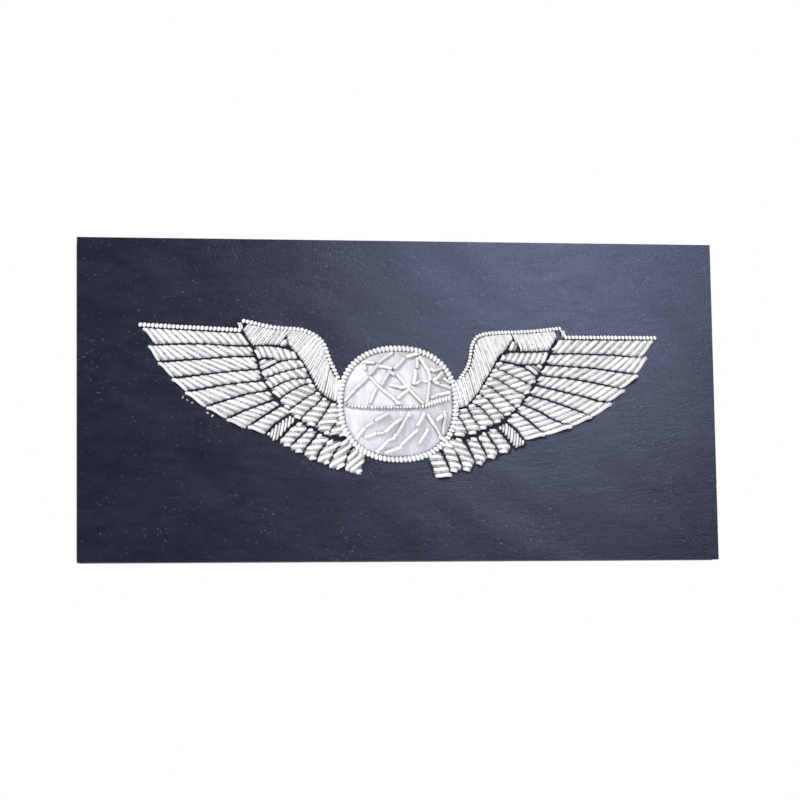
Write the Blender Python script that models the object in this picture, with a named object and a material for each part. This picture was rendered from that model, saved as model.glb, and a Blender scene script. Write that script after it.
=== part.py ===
"""A pilot wings badge, hand embroidered in silver bullion on a leather patch, with three clutch pins behind.

Metres, +Z up as worn. The embroidered face looks along -Y, and the back that lies on the garment is y = 0.
The lengths below are in millimetres, and outlines are (x, z) points on the leather's face.
"""

import math

import bmesh
import bpy
from mathutils import Vector

MM = 0.001

# The patch, from the back to the face: backing felt, stiffener, leather.
PATCH_WIDTH = 101.6
PATCH_HEIGHT = 50.8
CORNER_RADIUS = 0.6
BACKING_THICKNESS = 1.0
STIFFENER_THICKNESS = 0.5
LEATHER_THICKNESS = 1.1
LAYER_GAP = 0.05
STIFFENER_MARGIN = 0.4

# The clutch pins.
PIN_SPACING = 32.0
PIN_Z = 5.0
HEAD_RADIUS = 4.0
HEAD_THICKNESS = 0.3
SHANK_RADIUS = 0.575
SHANK_REACH = 8.0
POINT_LENGTH = 1.1
HEAD_CLEARANCE = 0.2
SHANK_CLEARANCE = 0.1

# The clutches: a cup with a rolled lip, and two sprung jaws with finger ears. They stand off the felt by a
# garment's thickness, and the jaws' heights are measured from the cup's floor.
GARMENT_SPACE = 2.1
CUP_RADIUS = 4.8
CUP_HEIGHT = 2.25
CUP_EDGE_RADIUS = 0.35
CUP_SHEET = 0.3
CUP_LIP_RADIUS = 4.1
CUP_HOLE_RADIUS = 0.95
JAW_PIVOT_X = 2.6
JAW_PIVOT_HEIGHT = 1.6
JAW_SHEET = 0.32
JAW_BAR_RADIUS = 0.26
JAW_BAR_HALF = 3.4
JAW_NOTCH_RADIUS = 0.63
JAW_NOTCH_TOP = 3.75

# The embroidery.
STITCH_GAP = 0.05
GROOVE = 0.3
FEATHER_HEIGHT = 1.0
FEATHER_CROWN = 0.35
COVERT_HEIGHT = 1.1
SHOULDER_HEIGHT = 1.0
CORD_RADIUS = 0.4

# The globe, an ellipse a little wider than high.
GLOBE_X = -0.6
GLOBE_Z = -0.7
RING_HALF_WIDTH = 9.1
RING_HALF_HEIGHT = 8.8
CLOTH_MARGIN = 0.13
CLOTH_THICKNESS = 0.25
CLOTH_RIM_HEIGHT = 0.35
CLOTH_RISE = 1.85
PADDING_GAP = 0.08
PADDING_SCALE = 0.93
EQUATOR_RADIUS = 0.33
EQUATOR_REACH = 7.9
EQUATOR_SAG = 0.75
EQUATOR_TILT = 0.05
CORD_TO_CLOTH = 0.12

BACKING_FRONT = -BACKING_THICKNESS
STIFFENER_BACK = BACKING_FRONT - LAYER_GAP
STIFFENER_FRONT = STIFFENER_BACK - STIFFENER_THICKNESS
LEATHER_BACK = STIFFENER_FRONT - LAYER_GAP
LEATHER_FRONT = LEATHER_BACK - LEATHER_THICKNESS
STITCH_BASE = LEATHER_FRONT - STITCH_GAP

# Each wing: the cord along the leading edge, the cord round the shoulder, then the grooves between its
# feathers, each from the tip inwards. A feather lies between two grooves, and its tip runs between the two
# points given for it. The first groove lies under the leading cord, and the last is the free inner side.
LEFT_WING = {
    "leading_cord": [(-41.1, 11.55), (-36.0, 11.35), (-31.0, 11.1), (-26.3, 10.85)],
    "shoulder_cord": [
        (-25.55, 11.3), (-25.35, 12.1), (-24.5, 12.25), (-22.4, 11.8), (-20.6, 11.4), (-18.9, 11.3),
        (-17.1, 11.2), (-15.6, 11.05), (-14.4, 10.6), (-13.1, 10.0), (-12.2, 9.2), (-11.8, 8.1),
        (-11.5, 6.9), (-11.1, 5.7), (-10.6, 4.5), (-10.05, 3.5),
    ],
    "grooves": [
        [(-40.3, 11.0), (-36.0, 10.8), (-31.0, 10.55), (-25.6, 10.3), (-24.4, 9.4)],
        [(-38.7, 8.5), (-34.1, 8.64), (-30.5, 8.64), (-26.9, 8.4), (-23.8, 8.4)],
        [(-38.4, 5.8), (-35.0, 6.05), (-30.5, 6.36), (-26.9, 6.7), (-23.2, 6.75)],
        [(-36.1, 3.35), (-33.0, 3.64), (-29.6, 4.04), (-26.0, 4.45), (-22.5, 4.75)],
        [(-34.1, 1.23), (-31.4, 1.6), (-28.7, 2.1), (-26.0, 2.5), (-22.0, 2.95)],
        [(-30.9, -1.27), (-29.6, -0.73), (-26.9, 0.07), (-24.25, 0.88), (-21.0, 1.4)],
        [(-27.6, -3.05), (-25.1, -1.9), (-23.0, -1.1), (-20.2, -0.1)],
        [(-24.1, -4.2), (-22.3, -2.96), (-20.5, -1.8), (-19.2, -1.0)],
        [(-21.4, -5.3), (-20.1, -3.9), (-18.5, -2.8), (-17.4, -2.2)],
        [(-19.8, -6.7), (-18.9, -5.8), (-18.0, -4.75), (-16.5, -3.4)],
        [(-18.0, -7.6), (-16.7, -6.4), (-15.8, -5.5), (-14.9, -4.4)],
        [(-16.0, -8.5), (-14.9, -7.25), (-14.0, -6.0), (-13.6, -5.2)],
        [(-13.9, -9.75), (-13.0, -8.1), (-12.1, -6.7), (-11.7, -6.1)],
        [(-11.9, -10.5), (-10.8, -8.5), (-10.1, -7.25), (-9.8, -6.7)],
        [(-9.3, -10.8), (-8.9, -9.4), (-8.4, -7.8), (-8.2, -7.1)],
        [(-6.5, -11.7), (-6.4, -10.6), (-5.8, -9.2), (-6.4, -8.2), (-7.2, -7.5)],
    ],
    "tips": [
        [(-40.9, 11.0)],
        [(-39.8, 8.3)],
        [(-38.45, 5.6)],
        [(-36.5, 3.15)],
        [(-34.25, 0.9)],
        [(-30.9, -1.5)],
        [(-27.6, -3.4), (-24.8, -4.75)],
        [(-24.5, -4.6), (-21.75, -5.64)],
        [(-21.4, -5.8), (-20.3, -7.0)],
        [(-19.5, -6.9), (-18.4, -7.7)],
        [(-18.0, -7.9), (-16.4, -8.7)],
        [(-15.8, -8.6), (-14.6, -9.8)],
        [(-13.7, -9.8), (-12.25, -10.4)],
        [(-11.7, -10.8), (-10.2, -11.3)],
        [(-9.3, -11.2), (-8.2, -11.7), (-6.9, -12.0)],
    ],
    "shoulder": [
        (-25.0, 10.75), (-24.85, 11.6), (-22.4, 11.2), (-20.6, 10.8), (-18.9, 10.7), (-17.1, 10.6),
        (-15.6, 10.45), (-14.6, 10.05), (-13.5, 9.5), (-12.8, 8.9), (-12.35, 8.0), (-12.0, 6.7),
        (-11.65, 5.5), (-11.2, 4.3), (-10.6, 3.2),
    ],
    "shoulder_under": [
        (-10.7, -0.6), (-11.7, 0.1), (-12.8, 1.0), (-13.5, 1.7), (-14.1, 3.1), (-14.8, 4.4), (-15.6, 5.8),
        (-16.4, 6.9), (-17.25, 7.8), (-17.9, 8.6), (-18.3, 10.0), (-19.4, 8.5), (-21.5, 8.5),
        (-23.5, 8.4), (-24.4, 9.5),
    ],
    "coverts": [
        (-23.5, 8.4), (-21.5, 8.5), (-19.4, 8.5), (-18.3, 10.0), (-17.9, 8.6), (-17.25, 7.8), (-16.4, 6.9),
        (-15.6, 5.8), (-14.8, 4.4), (-14.1, 3.1), (-13.5, 1.7), (-12.8, 1.0), (-11.7, 0.1), (-10.7, -0.6),
    ],
    "coverts_under": [
        (-9.2, -6.4), (-9.9, -6.7), (-10.8, -6.4), (-12.4, -5.8), (-13.5, -5.2), (-14.4, -4.4),
        (-15.3, -4.1), (-16.5, -3.3), (-17.25, -2.4), (-18.1, -1.7), (-19.1, -0.6), (-20.0, 0.25),
        (-20.5, 1.1), (-21.1, 2.1), (-21.9, 3.3), (-22.3, 4.5), (-22.6, 6.1), (-23.3, 7.2),
    ],
}

RIGHT_WING = {
    "leading_cord": [(41.1, 10.1), (36.0, 10.1), (31.0, 10.1), (26.6, 10.08)],
    "shoulder_cord": [
        (25.95, 10.7), (25.6, 11.5), (24.5, 11.4), (22.0, 11.1), (19.3, 10.9), (16.6, 10.8), (14.8, 10.7),
        (13.4, 10.5), (12.3, 10.1), (11.7, 9.4), (11.3, 8.5), (11.1, 7.2), (10.9, 6.1), (10.5, 5.1),
        (9.95, 4.2), (9.3, 3.4),
    ],
    "grooves": [
        [(40.3, 9.5), (36.0, 9.55), (31.0, 9.55), (26.0, 9.6), (25.1, 9.4)],
        [(38.75, 6.86), (37.0, 7.0), (34.3, 7.3), (30.7, 7.4), (27.1, 7.5), (24.1, 7.4)],
        [(37.9, 4.1), (36.0, 4.4), (34.3, 4.7), (30.7, 5.2), (27.1, 5.4), (23.3, 5.7)],
        [(35.2, 1.86), (33.4, 2.3), (30.7, 2.9), (27.1, 3.5), (22.3, 4.0)],
        [(33.4, -0.3), (31.6, -0.1), (29.8, 0.5), (27.1, 1.1), (24.6, 1.7), (21.6, 2.4)],
        [(30.7, -2.7), (28.9, -1.9), (26.25, -0.9), (23.6, 0.0), (20.5, 0.8)],
        [(27.1, -4.1), (25.4, -3.6), (23.9, -2.9), (22.1, -1.8), (19.3, -0.7)],
        [(23.0, -5.6), (21.4, -4.2), (20.2, -3.1), (18.3, -1.9)],
        [(19.8, -6.5), (19.1, -5.8), (18.4, -4.75), (16.6, -3.3)],
        [(17.5, -7.3), (16.4, -5.8), (15.0, -4.4)],
        [(15.5, -8.1), (14.3, -6.5), (13.3, -4.9)],
        [(13.7, -9.2), (12.9, -7.6), (11.9, -5.8)],
        [(11.7, -9.9), (10.7, -7.8), (10.0, -6.2)],
        [(9.7, -11.0), (8.9, -8.9), (8.2, -7.0)],
        [(7.9, -11.7), (7.1, -9.9), (6.4, -8.2)],
        [(5.1, -12.2), (4.7, -10.8), (4.3, -9.7), (4.9, -8.7), (5.5, -8.1)],
    ],
    "tips": [
        [(40.9, 9.5)],
        [(39.9, 6.75)],
        [(38.2, 3.75), (37.6, 3.1)],
        [(36.0, 1.4)],
        [(33.9, -0.7)],
        [(30.75, -3.0)],
        [(27.4, -4.6)],
        [(23.0, -5.9)],
        [(19.6, -7.3), (18.2, -7.9)],
        [(17.3, -8.3), (15.7, -8.7)],
        [(15.1, -9.3), (14.2, -9.6)],
        [(12.9, -10.4), (12.2, -10.6)],
        [(10.9, -11.4), (10.2, -11.6)],
        [(8.9, -11.5)],
        [(7.8, -12.3), (6.4, -12.5)],
    ],
    "shoulder": [
        (24.85, 10.7), (24.0, 10.8), (22.0, 10.5), (19.3, 10.3), (16.6, 10.2), (14.8, 10.1), (13.6, 9.9),
        (12.8, 9.6), (12.25, 9.1), (11.85, 8.3), (11.65, 7.1), (11.45, 6.0), (11.05, 4.9), (10.5, 4.0),
        (9.9, 3.3),
    ],
    "shoulder_under": [
        (9.5, -1.7), (10.5, -1.0), (11.6, 0.25), (12.5, 1.3), (13.2, 2.75), (14.3, 4.2), (15.0, 5.6),
        (15.7, 6.9), (16.4, 7.4), (17.0, 8.1), (18.1, 9.7), (19.3, 7.75), (22.0, 7.75), (23.9, 7.9),
        (24.5, 8.8), (25.1, 9.9),
    ],
    "coverts": [
        (23.8, 7.8), (22.0, 7.75), (19.3, 7.75), (18.1, 9.7), (17.0, 8.1), (16.4, 7.4), (15.7, 6.9),
        (15.0, 5.6), (14.3, 4.2), (13.2, 2.75), (12.5, 1.3), (11.6, 0.25), (10.5, -1.0), (9.5, -1.7),
    ],
    "coverts_under": [
        (8.1, -6.3), (9.4, -6.0), (10.9, -5.7), (12.7, -4.9), (14.6, -4.0), (16.4, -3.0), (17.3, -2.25),
        (18.4, -1.5), (19.3, -0.5), (20.2, 0.8), (20.9, 1.5), (21.6, 2.75), (22.1, 4.0), (22.9, 5.1),
        (23.6, 6.5),
    ],
}

FIRST_PRIMARIES = 8
WINGS = {"left": LEFT_WING, "right": RIGHT_WING}


# ---------------------------------------------------------------- materials


def make_material(name, colour, roughness, metallic=0.0):
    material = bpy.data.materials.new(name)
    material.use_nodes = True
    shader = material.node_tree.nodes["Principled BSDF"]
    shader.inputs["Base Color"].default_value = (*colour, 1.0)
    shader.inputs["Roughness"].default_value = roughness
    shader.inputs["Metallic"].default_value = metallic
    return material


def make_materials():
    return {
        "leather": make_material("navy_leather", (0.022, 0.024, 0.045), 0.55),
        "stiffener": make_material("stiffener_card", (0.62, 0.58, 0.5), 0.9),
        "backing": make_material("backing_felt", (0.012, 0.012, 0.014), 0.95),
        "bullion": make_material("silver_bullion", (0.82, 0.82, 0.83), 0.35, 0.6),
        "cord": make_material("silver_cord", (0.86, 0.86, 0.87), 0.28, 0.7),
        "cloth": make_material("silver_cloth", (0.84, 0.84, 0.88), 0.45, 0.4),
        "padding": make_material("padding_felt", (0.75, 0.75, 0.73), 0.95),
        "nickel": make_material("nickel_plate", (0.72, 0.7, 0.66), 0.22, 1.0),
    }


# ---------------------------------------------------------------- shape helpers


def on_face(point, y):
    """The place of an (x, z) point at depth y, in metres."""
    return Vector((point[0], y, point[1])) * MM


def add_object(name, shape, material, smooth_angle=40.0, origin=(0.0, 0.0, 0.0)):
    """Turn a bmesh into an object whose origin is at the given place in millimetres."""
    place = Vector(origin) * MM
    bmesh.ops.translate(shape, vec=-place, verts=shape.verts)
    bmesh.ops.recalc_face_normals(shape, faces=shape.faces)
    mesh = bpy.data.meshes.new(name)
    shape.to_mesh(mesh)
    shape.free()
    mesh.materials.append(material)
    mesh.shade_smooth()
    mesh.set_sharp_from_angle(angle=math.radians(smooth_angle))
    obj = bpy.data.objects.new(name, mesh)
    obj.location = place
    bpy.context.scene.collection.objects.link(obj)
    return obj


def signed_area(outline):
    following = outline[1:] + outline[:1]
    return sum(a[0] * b[1] - b[0] * a[1] for a, b in zip(outline, following)) / 2


def inset(outline, width):
    """The outline with each side moved inwards by width; a sharp corner is cut short of its full mitre."""
    turn = 1.0 if signed_area(outline) > 0 else -1.0
    moved = []
    for index, point in enumerate(outline):
        here = Vector(point)
        before = (here - Vector(outline[index - 1])).normalized()
        after = (Vector(outline[(index + 1) % len(outline)]) - here).normalized()
        inward = Vector((-before.y - after.y, before.x + after.x)) * turn
        reach = width / max(0.35, inward.length / 2)
        moved.append(tuple(here + inward.normalized() * reach))
    return moved


def ring_point(angle, margin):
    """A point on the ellipse that lies margin outside the middle of the globe's border cord."""
    x = GLOBE_X + (RING_HALF_WIDTH + margin) * math.cos(angle)
    z = GLOBE_Z + (RING_HALF_HEIGHT + margin) * math.sin(angle)
    return (x, z)


def clear_of_ring(point, margin=CORD_RADIUS + 0.05):
    """The point, or the nearest place outside the globe's border cord where it lies inside."""
    x = (point[0] - GLOBE_X) / (RING_HALF_WIDTH + margin)
    z = (point[1] - GLOBE_Z) / (RING_HALF_HEIGHT + margin)
    if math.hypot(x, z) >= 1.0:
        return point
    return ring_point(math.atan2(z, x), margin)


def ring_side(from_z, to_z, side, steps=6):
    """Points down one side of the globe's border cord, between two heights."""
    margin = CORD_RADIUS + 0.05
    points = []
    for step in range(steps + 1):
        z = from_z + (to_z - from_z) * step / steps
        lift = math.asin((z - GLOBE_Z) / (RING_HALF_HEIGHT + margin))
        angle = lift if side == "right" else math.pi - lift
        points.append(ring_point(angle, margin))
    return points


def rounded_rectangle(width, height, radius, steps=3):
    points = []
    for corner in range(4):
        turn = math.radians(90 * corner)
        sign_x = 1 if corner in (0, 3) else -1
        sign_z = 1 if corner in (0, 1) else -1
        for step in range(steps + 1):
            angle = turn + math.radians(90) * step / steps
            x = sign_x * (width / 2 - radius) + radius * math.cos(angle)
            z = sign_z * (height / 2 - radius) + radius * math.sin(angle)
            points.append((x, z))
    return points


def prism(name, outline, back_y, front_y, material, crown=0.0, crown_steps=2, holes=()):
    """Extrude an outline from back_y to front_y, and round the front edge over by crown."""
    shape = bmesh.new()
    face = shape.faces.new([shape.verts.new(on_face(point, back_y)) for point in outline])
    grown = bmesh.ops.extrude_face_region(shape, geom=[face])["geom"]
    front = [part for part in grown if isinstance(part, bmesh.types.BMVert)]
    bmesh.ops.translate(shape, vec=Vector((0, (front_y - back_y) * MM, 0)), verts=front)
    if crown:
        rim = [edge for edge in shape.edges if all(vert in front for vert in edge.verts)]
        bmesh.ops.bevel(
            shape, geom=rim, offset=crown * MM, segments=crown_steps, profile=0.5, affect="EDGES",
            clamp_overlap=True,
        )
    obj = add_object(name, shape, material, smooth_angle=50.0)
    for hole in holes:
        cut = obj.modifiers.new("hole", "BOOLEAN")
        cut.operation = "DIFFERENCE"
        cut.object = hole
    return obj


def turned(name, profile, centre, material, segments=24):
    """Spin a closed (radius, y) profile round an axis along Y through the centre (x, z)."""
    shape = bmesh.new()
    rings = []
    for radius, y in profile:
        if radius == 0:
            rings.append([shape.verts.new(on_face(centre, y))])
            continue
        ring = []
        for step in range(segments):
            angle = 2 * math.pi * step / segments
            point = (centre[0] + radius * math.cos(angle), centre[1] + radius * math.sin(angle))
            ring.append(shape.verts.new(on_face(point, y)))
        rings.append(ring)
    closed = profile[0][0] != 0
    pairs = list(zip(rings, rings[1:] + rings[:1])) if closed else list(zip(rings, rings[1:]))
    for first, second in pairs:
        for step in range(segments):
            after = (step + 1) % segments
            corners = [first[step % len(first)], first[after % len(first)]]
            corners += [second[after % len(second)], second[step % len(second)]]
            shape.faces.new(list(dict.fromkeys(corners)))
    return add_object(name, shape, material, smooth_angle=35.0, origin=(centre[0], 0.0, centre[1]))


def tube(name, points, radius, material, cyclic=False):
    """A round cord through (x, y, z) points in millimetres, with closed ends."""
    curve = bpy.data.curves.new(name, "CURVE")
    curve.dimensions = "3D"
    curve.bevel_depth = radius * MM
    curve.bevel_resolution = 2
    curve.use_fill_caps = not cyclic
    spline = curve.splines.new("POLY")
    spline.points.add(len(points) - 1)
    for target, point in zip(spline.points, points):
        target.co = (point[0] * MM, point[1] * MM, point[2] * MM, 1.0)
    spline.use_cyclic_u = cyclic
    spline.use_smooth = True
    curve.materials.append(material)
    obj = bpy.data.objects.new(name, curve)
    bpy.context.scene.collection.objects.link(obj)
    return obj


def smooth_line(points, spacing):
    """Points about spacing apart on a Catmull-Rom curve through the given ones."""
    ends = [points[0]] + list(points) + [points[-1]]
    line = []
    for before, start, end, after in zip(ends, ends[1:], ends[2:], ends[3:]):
        a, b, c, d = Vector(before), Vector(start), Vector(end), Vector(after)
        steps = max(1, round((c - b).length / spacing))
        for step in range(steps):
            t = step / steps
            square = (2 * a - 5 * b + 4 * c - d) * t**2
            cube = (3 * b - a - 3 * c + d) * t**3
            line.append((2 * b + (c - a) * t + square + cube) / 2)
    line.append(Vector(points[-1]))
    return line


# ---------------------------------------------------------------- the patch


def pin_places():
    return {"left": (-PIN_SPACING, PIN_Z), "centre": (0.0, PIN_Z), "right": (PIN_SPACING, PIN_Z)}


def make_patch(materials):
    leather = rounded_rectangle(PATCH_WIDTH, PATCH_HEIGHT, CORNER_RADIUS)
    prism("leather_patch", leather, LEATHER_BACK, LEATHER_FRONT, materials["leather"], crown=0.2)
    margins = 2 * STIFFENER_MARGIN
    inner = rounded_rectangle(PATCH_WIDTH - margins, PATCH_HEIGHT - margins, CORNER_RADIUS)
    prism("stiffener_sheet", inner, STIFFENER_BACK, STIFFENER_FRONT, materials["stiffener"])
    cutters = [make_pin_cutter(name, centre, materials) for name, centre in pin_places().items()]
    prism("backing_felt", leather, 0.0, BACKING_FRONT, materials["backing"], holes=cutters)


def make_pin_cutter(name, centre, materials):
    """The pocket that a pin's head presses into the felt, with the hole for its shank."""
    pocket_floor = BACKING_FRONT + HEAD_THICKNESS + LAYER_GAP
    shank = SHANK_RADIUS + SHANK_CLEARANCE
    head = HEAD_RADIUS + HEAD_CLEARANCE
    profile = [(0, 1.0), (shank, 1.0), (shank, pocket_floor), (head, pocket_floor)]
    profile += [(head, BACKING_FRONT - 1.0), (0, BACKING_FRONT - 1.0)]
    cutter = turned("pocket_cutter_" + name, profile, centre, materials["backing"], segments=20)
    cutter.hide_render = True
    cutter.display_type = "WIRE"
    return cutter


def make_post(name, centre, materials):
    head_front = BACKING_FRONT
    head_back = head_front + HEAD_THICKNESS
    neck = SHANK_REACH - POINT_LENGTH
    profile = [
        (0, head_front), (HEAD_RADIUS - 0.1, head_front), (HEAD_RADIUS, head_front + 0.1),
        (HEAD_RADIUS, head_back), (SHANK_RADIUS, head_back), (SHANK_RADIUS, neck - 0.9),
        (SHANK_RADIUS * 0.8, neck - 0.6), (SHANK_RADIUS * 0.8, neck - 0.3), (SHANK_RADIUS, neck),
        (0.12, SHANK_REACH), (0, SHANK_REACH),
    ]
    turned("post_" + name, profile, centre, materials["nickel"], segments=16)


# ---------------------------------------------------------------- the clutches


def make_cup(name, centre, materials):
    floor = GARMENT_SPACE
    top = floor + CUP_HEIGHT
    inner = CUP_RADIUS - CUP_SHEET
    floor_top = floor + CUP_SHEET
    profile = [
        (CUP_HOLE_RADIUS, floor + CUP_SHEET / 2), (CUP_HOLE_RADIUS + CUP_SHEET / 2, floor),
        (CUP_RADIUS - CUP_EDGE_RADIUS, floor), (CUP_RADIUS, floor + CUP_EDGE_RADIUS),
        (CUP_RADIUS, top - CUP_EDGE_RADIUS), (CUP_RADIUS - CUP_EDGE_RADIUS, top), (CUP_LIP_RADIUS, top),
        (CUP_LIP_RADIUS, top - CUP_SHEET), (inner, top - CUP_SHEET), (inner, floor_top),
        (CUP_HOLE_RADIUS, floor_top),
    ]
    turned("clutch_cup_" + name, profile, centre, materials["nickel"], segments=28)


def jaw_stations():
    """(outward x, height, half width) down the middle of a jaw's strip, from its grip to its ear's end."""
    tongue = [(0.1, 1.07, 1.5), (1.3, 1.2, 1.9), (2.1, 1.4, 2.3)]
    ear = [(2.62, 1.8, 2.4), (2.8, 2.65, 2.4), (2.95, 3.65, 2.55), (3.15, 4.65, 2.6)]
    rounding = [(3.35, 5.2, 2.35), (3.6, 5.6, 1.8), (3.8, 5.85, 1.0)]
    return tongue + ear + rounding


def make_jaw(name, side, centre, materials):
    """One sprung jaw. Its origin is on the axis it rocks about, under the cup's lip."""
    shape = bmesh.new()
    stations = jaw_stations()
    rows = []
    for index, (x, height, half) in enumerate(stations):
        before = Vector(stations[max(index - 1, 0)][:2])
        after = Vector(stations[min(index + 1, len(stations) - 1)][:2])
        along = (after - before).normalized()
        across = Vector((-along.y, along.x)) * JAW_SHEET / 2
        row = []
        for face, edge in ((1, -1), (1, 1), (-1, 1), (-1, -1)):
            place = Vector((x, GARMENT_SPACE + height)) + across * face
            corner = (centre[0] + side * place.x, centre[1] + edge * half)
            row.append(shape.verts.new(on_face(corner, place.y)))
        rows.append(row)
    for first, second in zip(rows, rows[1:]):
        for step in range(4):
            after = (step + 1) % 4
            shape.faces.new([first[step], first[after], second[after], second[step]])
    shape.faces.new(rows[0])
    shape.faces.new(list(reversed(rows[-1])))
    pivot = (centre[0] + side * JAW_PIVOT_X, GARMENT_SPACE + JAW_PIVOT_HEIGHT, centre[1])
    jaw = add_object(name, shape, materials["nickel"], smooth_angle=35.0, origin=pivot)
    bar = make_jaw_bar(name + "_bar", pivot, materials)
    notch = make_notch(name + "_notch", centre, materials)
    for helper, operation in ((bar, "UNION"), (notch, "DIFFERENCE")):
        join = jaw.modifiers.new(operation.lower(), "BOOLEAN")
        join.operation = operation
        join.object = helper


def make_jaw_bar(name, pivot, materials):
    """The round bar, under the cup's lip, that a jaw rocks on."""
    shape = bmesh.new()
    made = bmesh.ops.create_cone(
        shape, cap_ends=True, segments=12, radius1=JAW_BAR_RADIUS * MM, radius2=JAW_BAR_RADIUS * MM,
        depth=2 * JAW_BAR_HALF * MM,
    )
    bmesh.ops.translate(shape, vec=Vector(pivot) * MM, verts=made["verts"])
    bar = add_object(name, shape, materials["nickel"], origin=pivot)
    bar.hide_render = True
    bar.display_type = "WIRE"
    return bar


def make_notch(name, centre, materials):
    top = GARMENT_SPACE + JAW_NOTCH_TOP
    profile = [(0, top), (JAW_NOTCH_RADIUS, top), (JAW_NOTCH_RADIUS, GARMENT_SPACE), (0, GARMENT_SPACE)]
    notch = turned(name, profile, centre, materials["nickel"], segments=16)
    notch.hide_render = True
    notch.display_type = "WIRE"
    return notch


# ---------------------------------------------------------------- the wings


def feather_outlines(wing):
    outlines = []
    for index, tip in enumerate(wing["tips"]):
        upper = wing["grooves"][index]
        lower = wing["grooves"][index + 1]
        outline = [tip[0]] + upper + lower[::-1] + tip[:0:-1]
        outlines.append([clear_of_ring(point) for point in outline])
    return outlines


def make_wing(side, wing, materials):
    bullion = materials["bullion"]
    for index, outline in enumerate(feather_outlines(wing)):
        if index < FIRST_PRIMARIES:
            name = f"primary_{side}_{index + 1}"
        else:
            name = f"secondary_{side}_{index + 1 - FIRST_PRIMARIES}"
        top = STITCH_BASE - FEATHER_HEIGHT
        prism(name, inset(outline, GROOVE / 2), STITCH_BASE, top, bullion, FEATHER_CROWN)
    shoulder = wing["shoulder"] + ring_side(2.6, -0.9, side)[:-1] + wing["shoulder_under"]
    shoulder = inset([clear_of_ring(point) for point in shoulder], GROOVE / 2)
    prism("shoulder_" + side, shoulder, STITCH_BASE, STITCH_BASE - SHOULDER_HEIGHT, bullion, FEATHER_CROWN)
    coverts = wing["coverts"] + ring_side(-1.6, -5.9, side)[1:] + wing["coverts_under"]
    coverts = inset([clear_of_ring(point) for point in coverts], GROOVE / 2)
    prism("coverts_" + side, coverts, STITCH_BASE, STITCH_BASE - COVERT_HEIGHT, bullion, FEATHER_CROWN)
    for part in ("leading_cord", "shoulder_cord"):
        cord_y = STITCH_BASE - CORD_RADIUS
        line = smooth_line([(x, cord_y, z) for x, z in wing[part]], 1.3)
        tube(f"{part}_{side}", line, CORD_RADIUS, materials["cord"])


# ---------------------------------------------------------------- the globe


def dome_height(reach):
    """How far the globe's cloth stands off the leather at reach, from 0 at the centre to 1 at its rim."""
    return CLOTH_RIM_HEIGHT + CLOTH_RISE * max(0.0, 1.0 - reach**2) ** 0.75


def dome_rings(shape, scale, lower, reaches, segments=32):
    """Rings of points over the dome, lowered towards the leather by lower."""
    half_width = RING_HALF_WIDTH - CORD_RADIUS - CLOTH_MARGIN
    half_height = RING_HALF_HEIGHT - CORD_RADIUS - CLOTH_MARGIN
    rings = []
    for reach in reaches:
        ring = []
        for step in range(segments):
            angle = 2 * math.pi * step / segments
            x = GLOBE_X + half_width * scale * reach * math.cos(angle)
            z = GLOBE_Z + half_height * scale * reach * math.sin(angle)
            ring.append(shape.verts.new(on_face((x, z), STITCH_BASE - dome_height(reach * scale) + lower)))
        rings.append(ring)
    return rings


def bridge(shape, rings):
    for first, second in zip(rings, rings[1:]):
        for step in range(len(first)):
            after = (step + 1) % len(first)
            shape.faces.new([first[step], first[after], second[after], second[step]])


def flat_copy(shape, ring):
    """A ring moved straight back onto the leather."""
    return [shape.verts.new(Vector((vert.co.x, STITCH_BASE * MM, vert.co.z))) for vert in ring]


def make_globe(materials):
    reaches = [0.12, 0.35, 0.6, 0.8, 0.92, 1.0]
    padding = bmesh.new()
    rings = dome_rings(padding, PADDING_SCALE, CLOTH_THICKNESS + PADDING_GAP, reaches)
    rings.append(flat_copy(padding, rings[-1]))
    bridge(padding, rings)
    padding.faces.new(rings[0])
    padding.faces.new(rings[-1])
    add_object("globe_padding", padding, materials["padding"])

    cloth = bmesh.new()
    outer = dome_rings(cloth, 1.0, 0.0, reaches)
    inner = dome_rings(cloth, PADDING_SCALE + 0.02, CLOTH_THICKNESS, reaches)
    outer_rim = flat_copy(cloth, outer[-1])
    inner_rim = flat_copy(cloth, inner[-1])
    bridge(cloth, outer + [outer_rim, inner_rim] + inner[::-1])
    cloth.faces.new(outer[0])
    cloth.faces.new(inner[0])
    add_object("globe_cloth", cloth, materials["cloth"])

    ring = []
    for step in range(48):
        x, z = ring_point(2 * math.pi * step / 48, 0.0)
        ring.append((x, STITCH_BASE - CORD_RADIUS, z))
    tube("globe_border_cord", ring, CORD_RADIUS, materials["cord"], cyclic=True)

    equator = []
    for step in range(17):
        across = -1.0 + 2.0 * step / 16
        x = GLOBE_X + EQUATOR_REACH * across
        z = GLOBE_Z - EQUATOR_SAG * (1.0 - across**2) + EQUATOR_TILT * EQUATOR_REACH * across
        half_width = RING_HALF_WIDTH - CORD_RADIUS - CLOTH_MARGIN
        half_height = RING_HALF_HEIGHT - CORD_RADIUS - CLOTH_MARGIN
        reach = math.hypot((x - GLOBE_X) / half_width, (z - GLOBE_Z) / half_height)
        equator.append((x, STITCH_BASE - dome_height(reach) - EQUATOR_RADIUS - CORD_TO_CLOTH, z))
    tube("globe_equator_cord", equator, EQUATOR_RADIUS, materials["cord"])


def main():
    for obj in list(bpy.data.objects):
        bpy.data.objects.remove(obj)
    materials = make_materials()
    make_patch(materials)
    for name, centre in pin_places().items():
        make_post(name, centre, materials)
        make_cup(name, centre, materials)
        make_jaw(f"clutch_jaw_{name}_a", -1, centre, materials)
        make_jaw(f"clutch_jaw_{name}_b", 1, centre, materials)
    for side, wing in WINGS.items():
        make_wing(side, wing, materials)
    make_globe(materials)


main()
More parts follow.
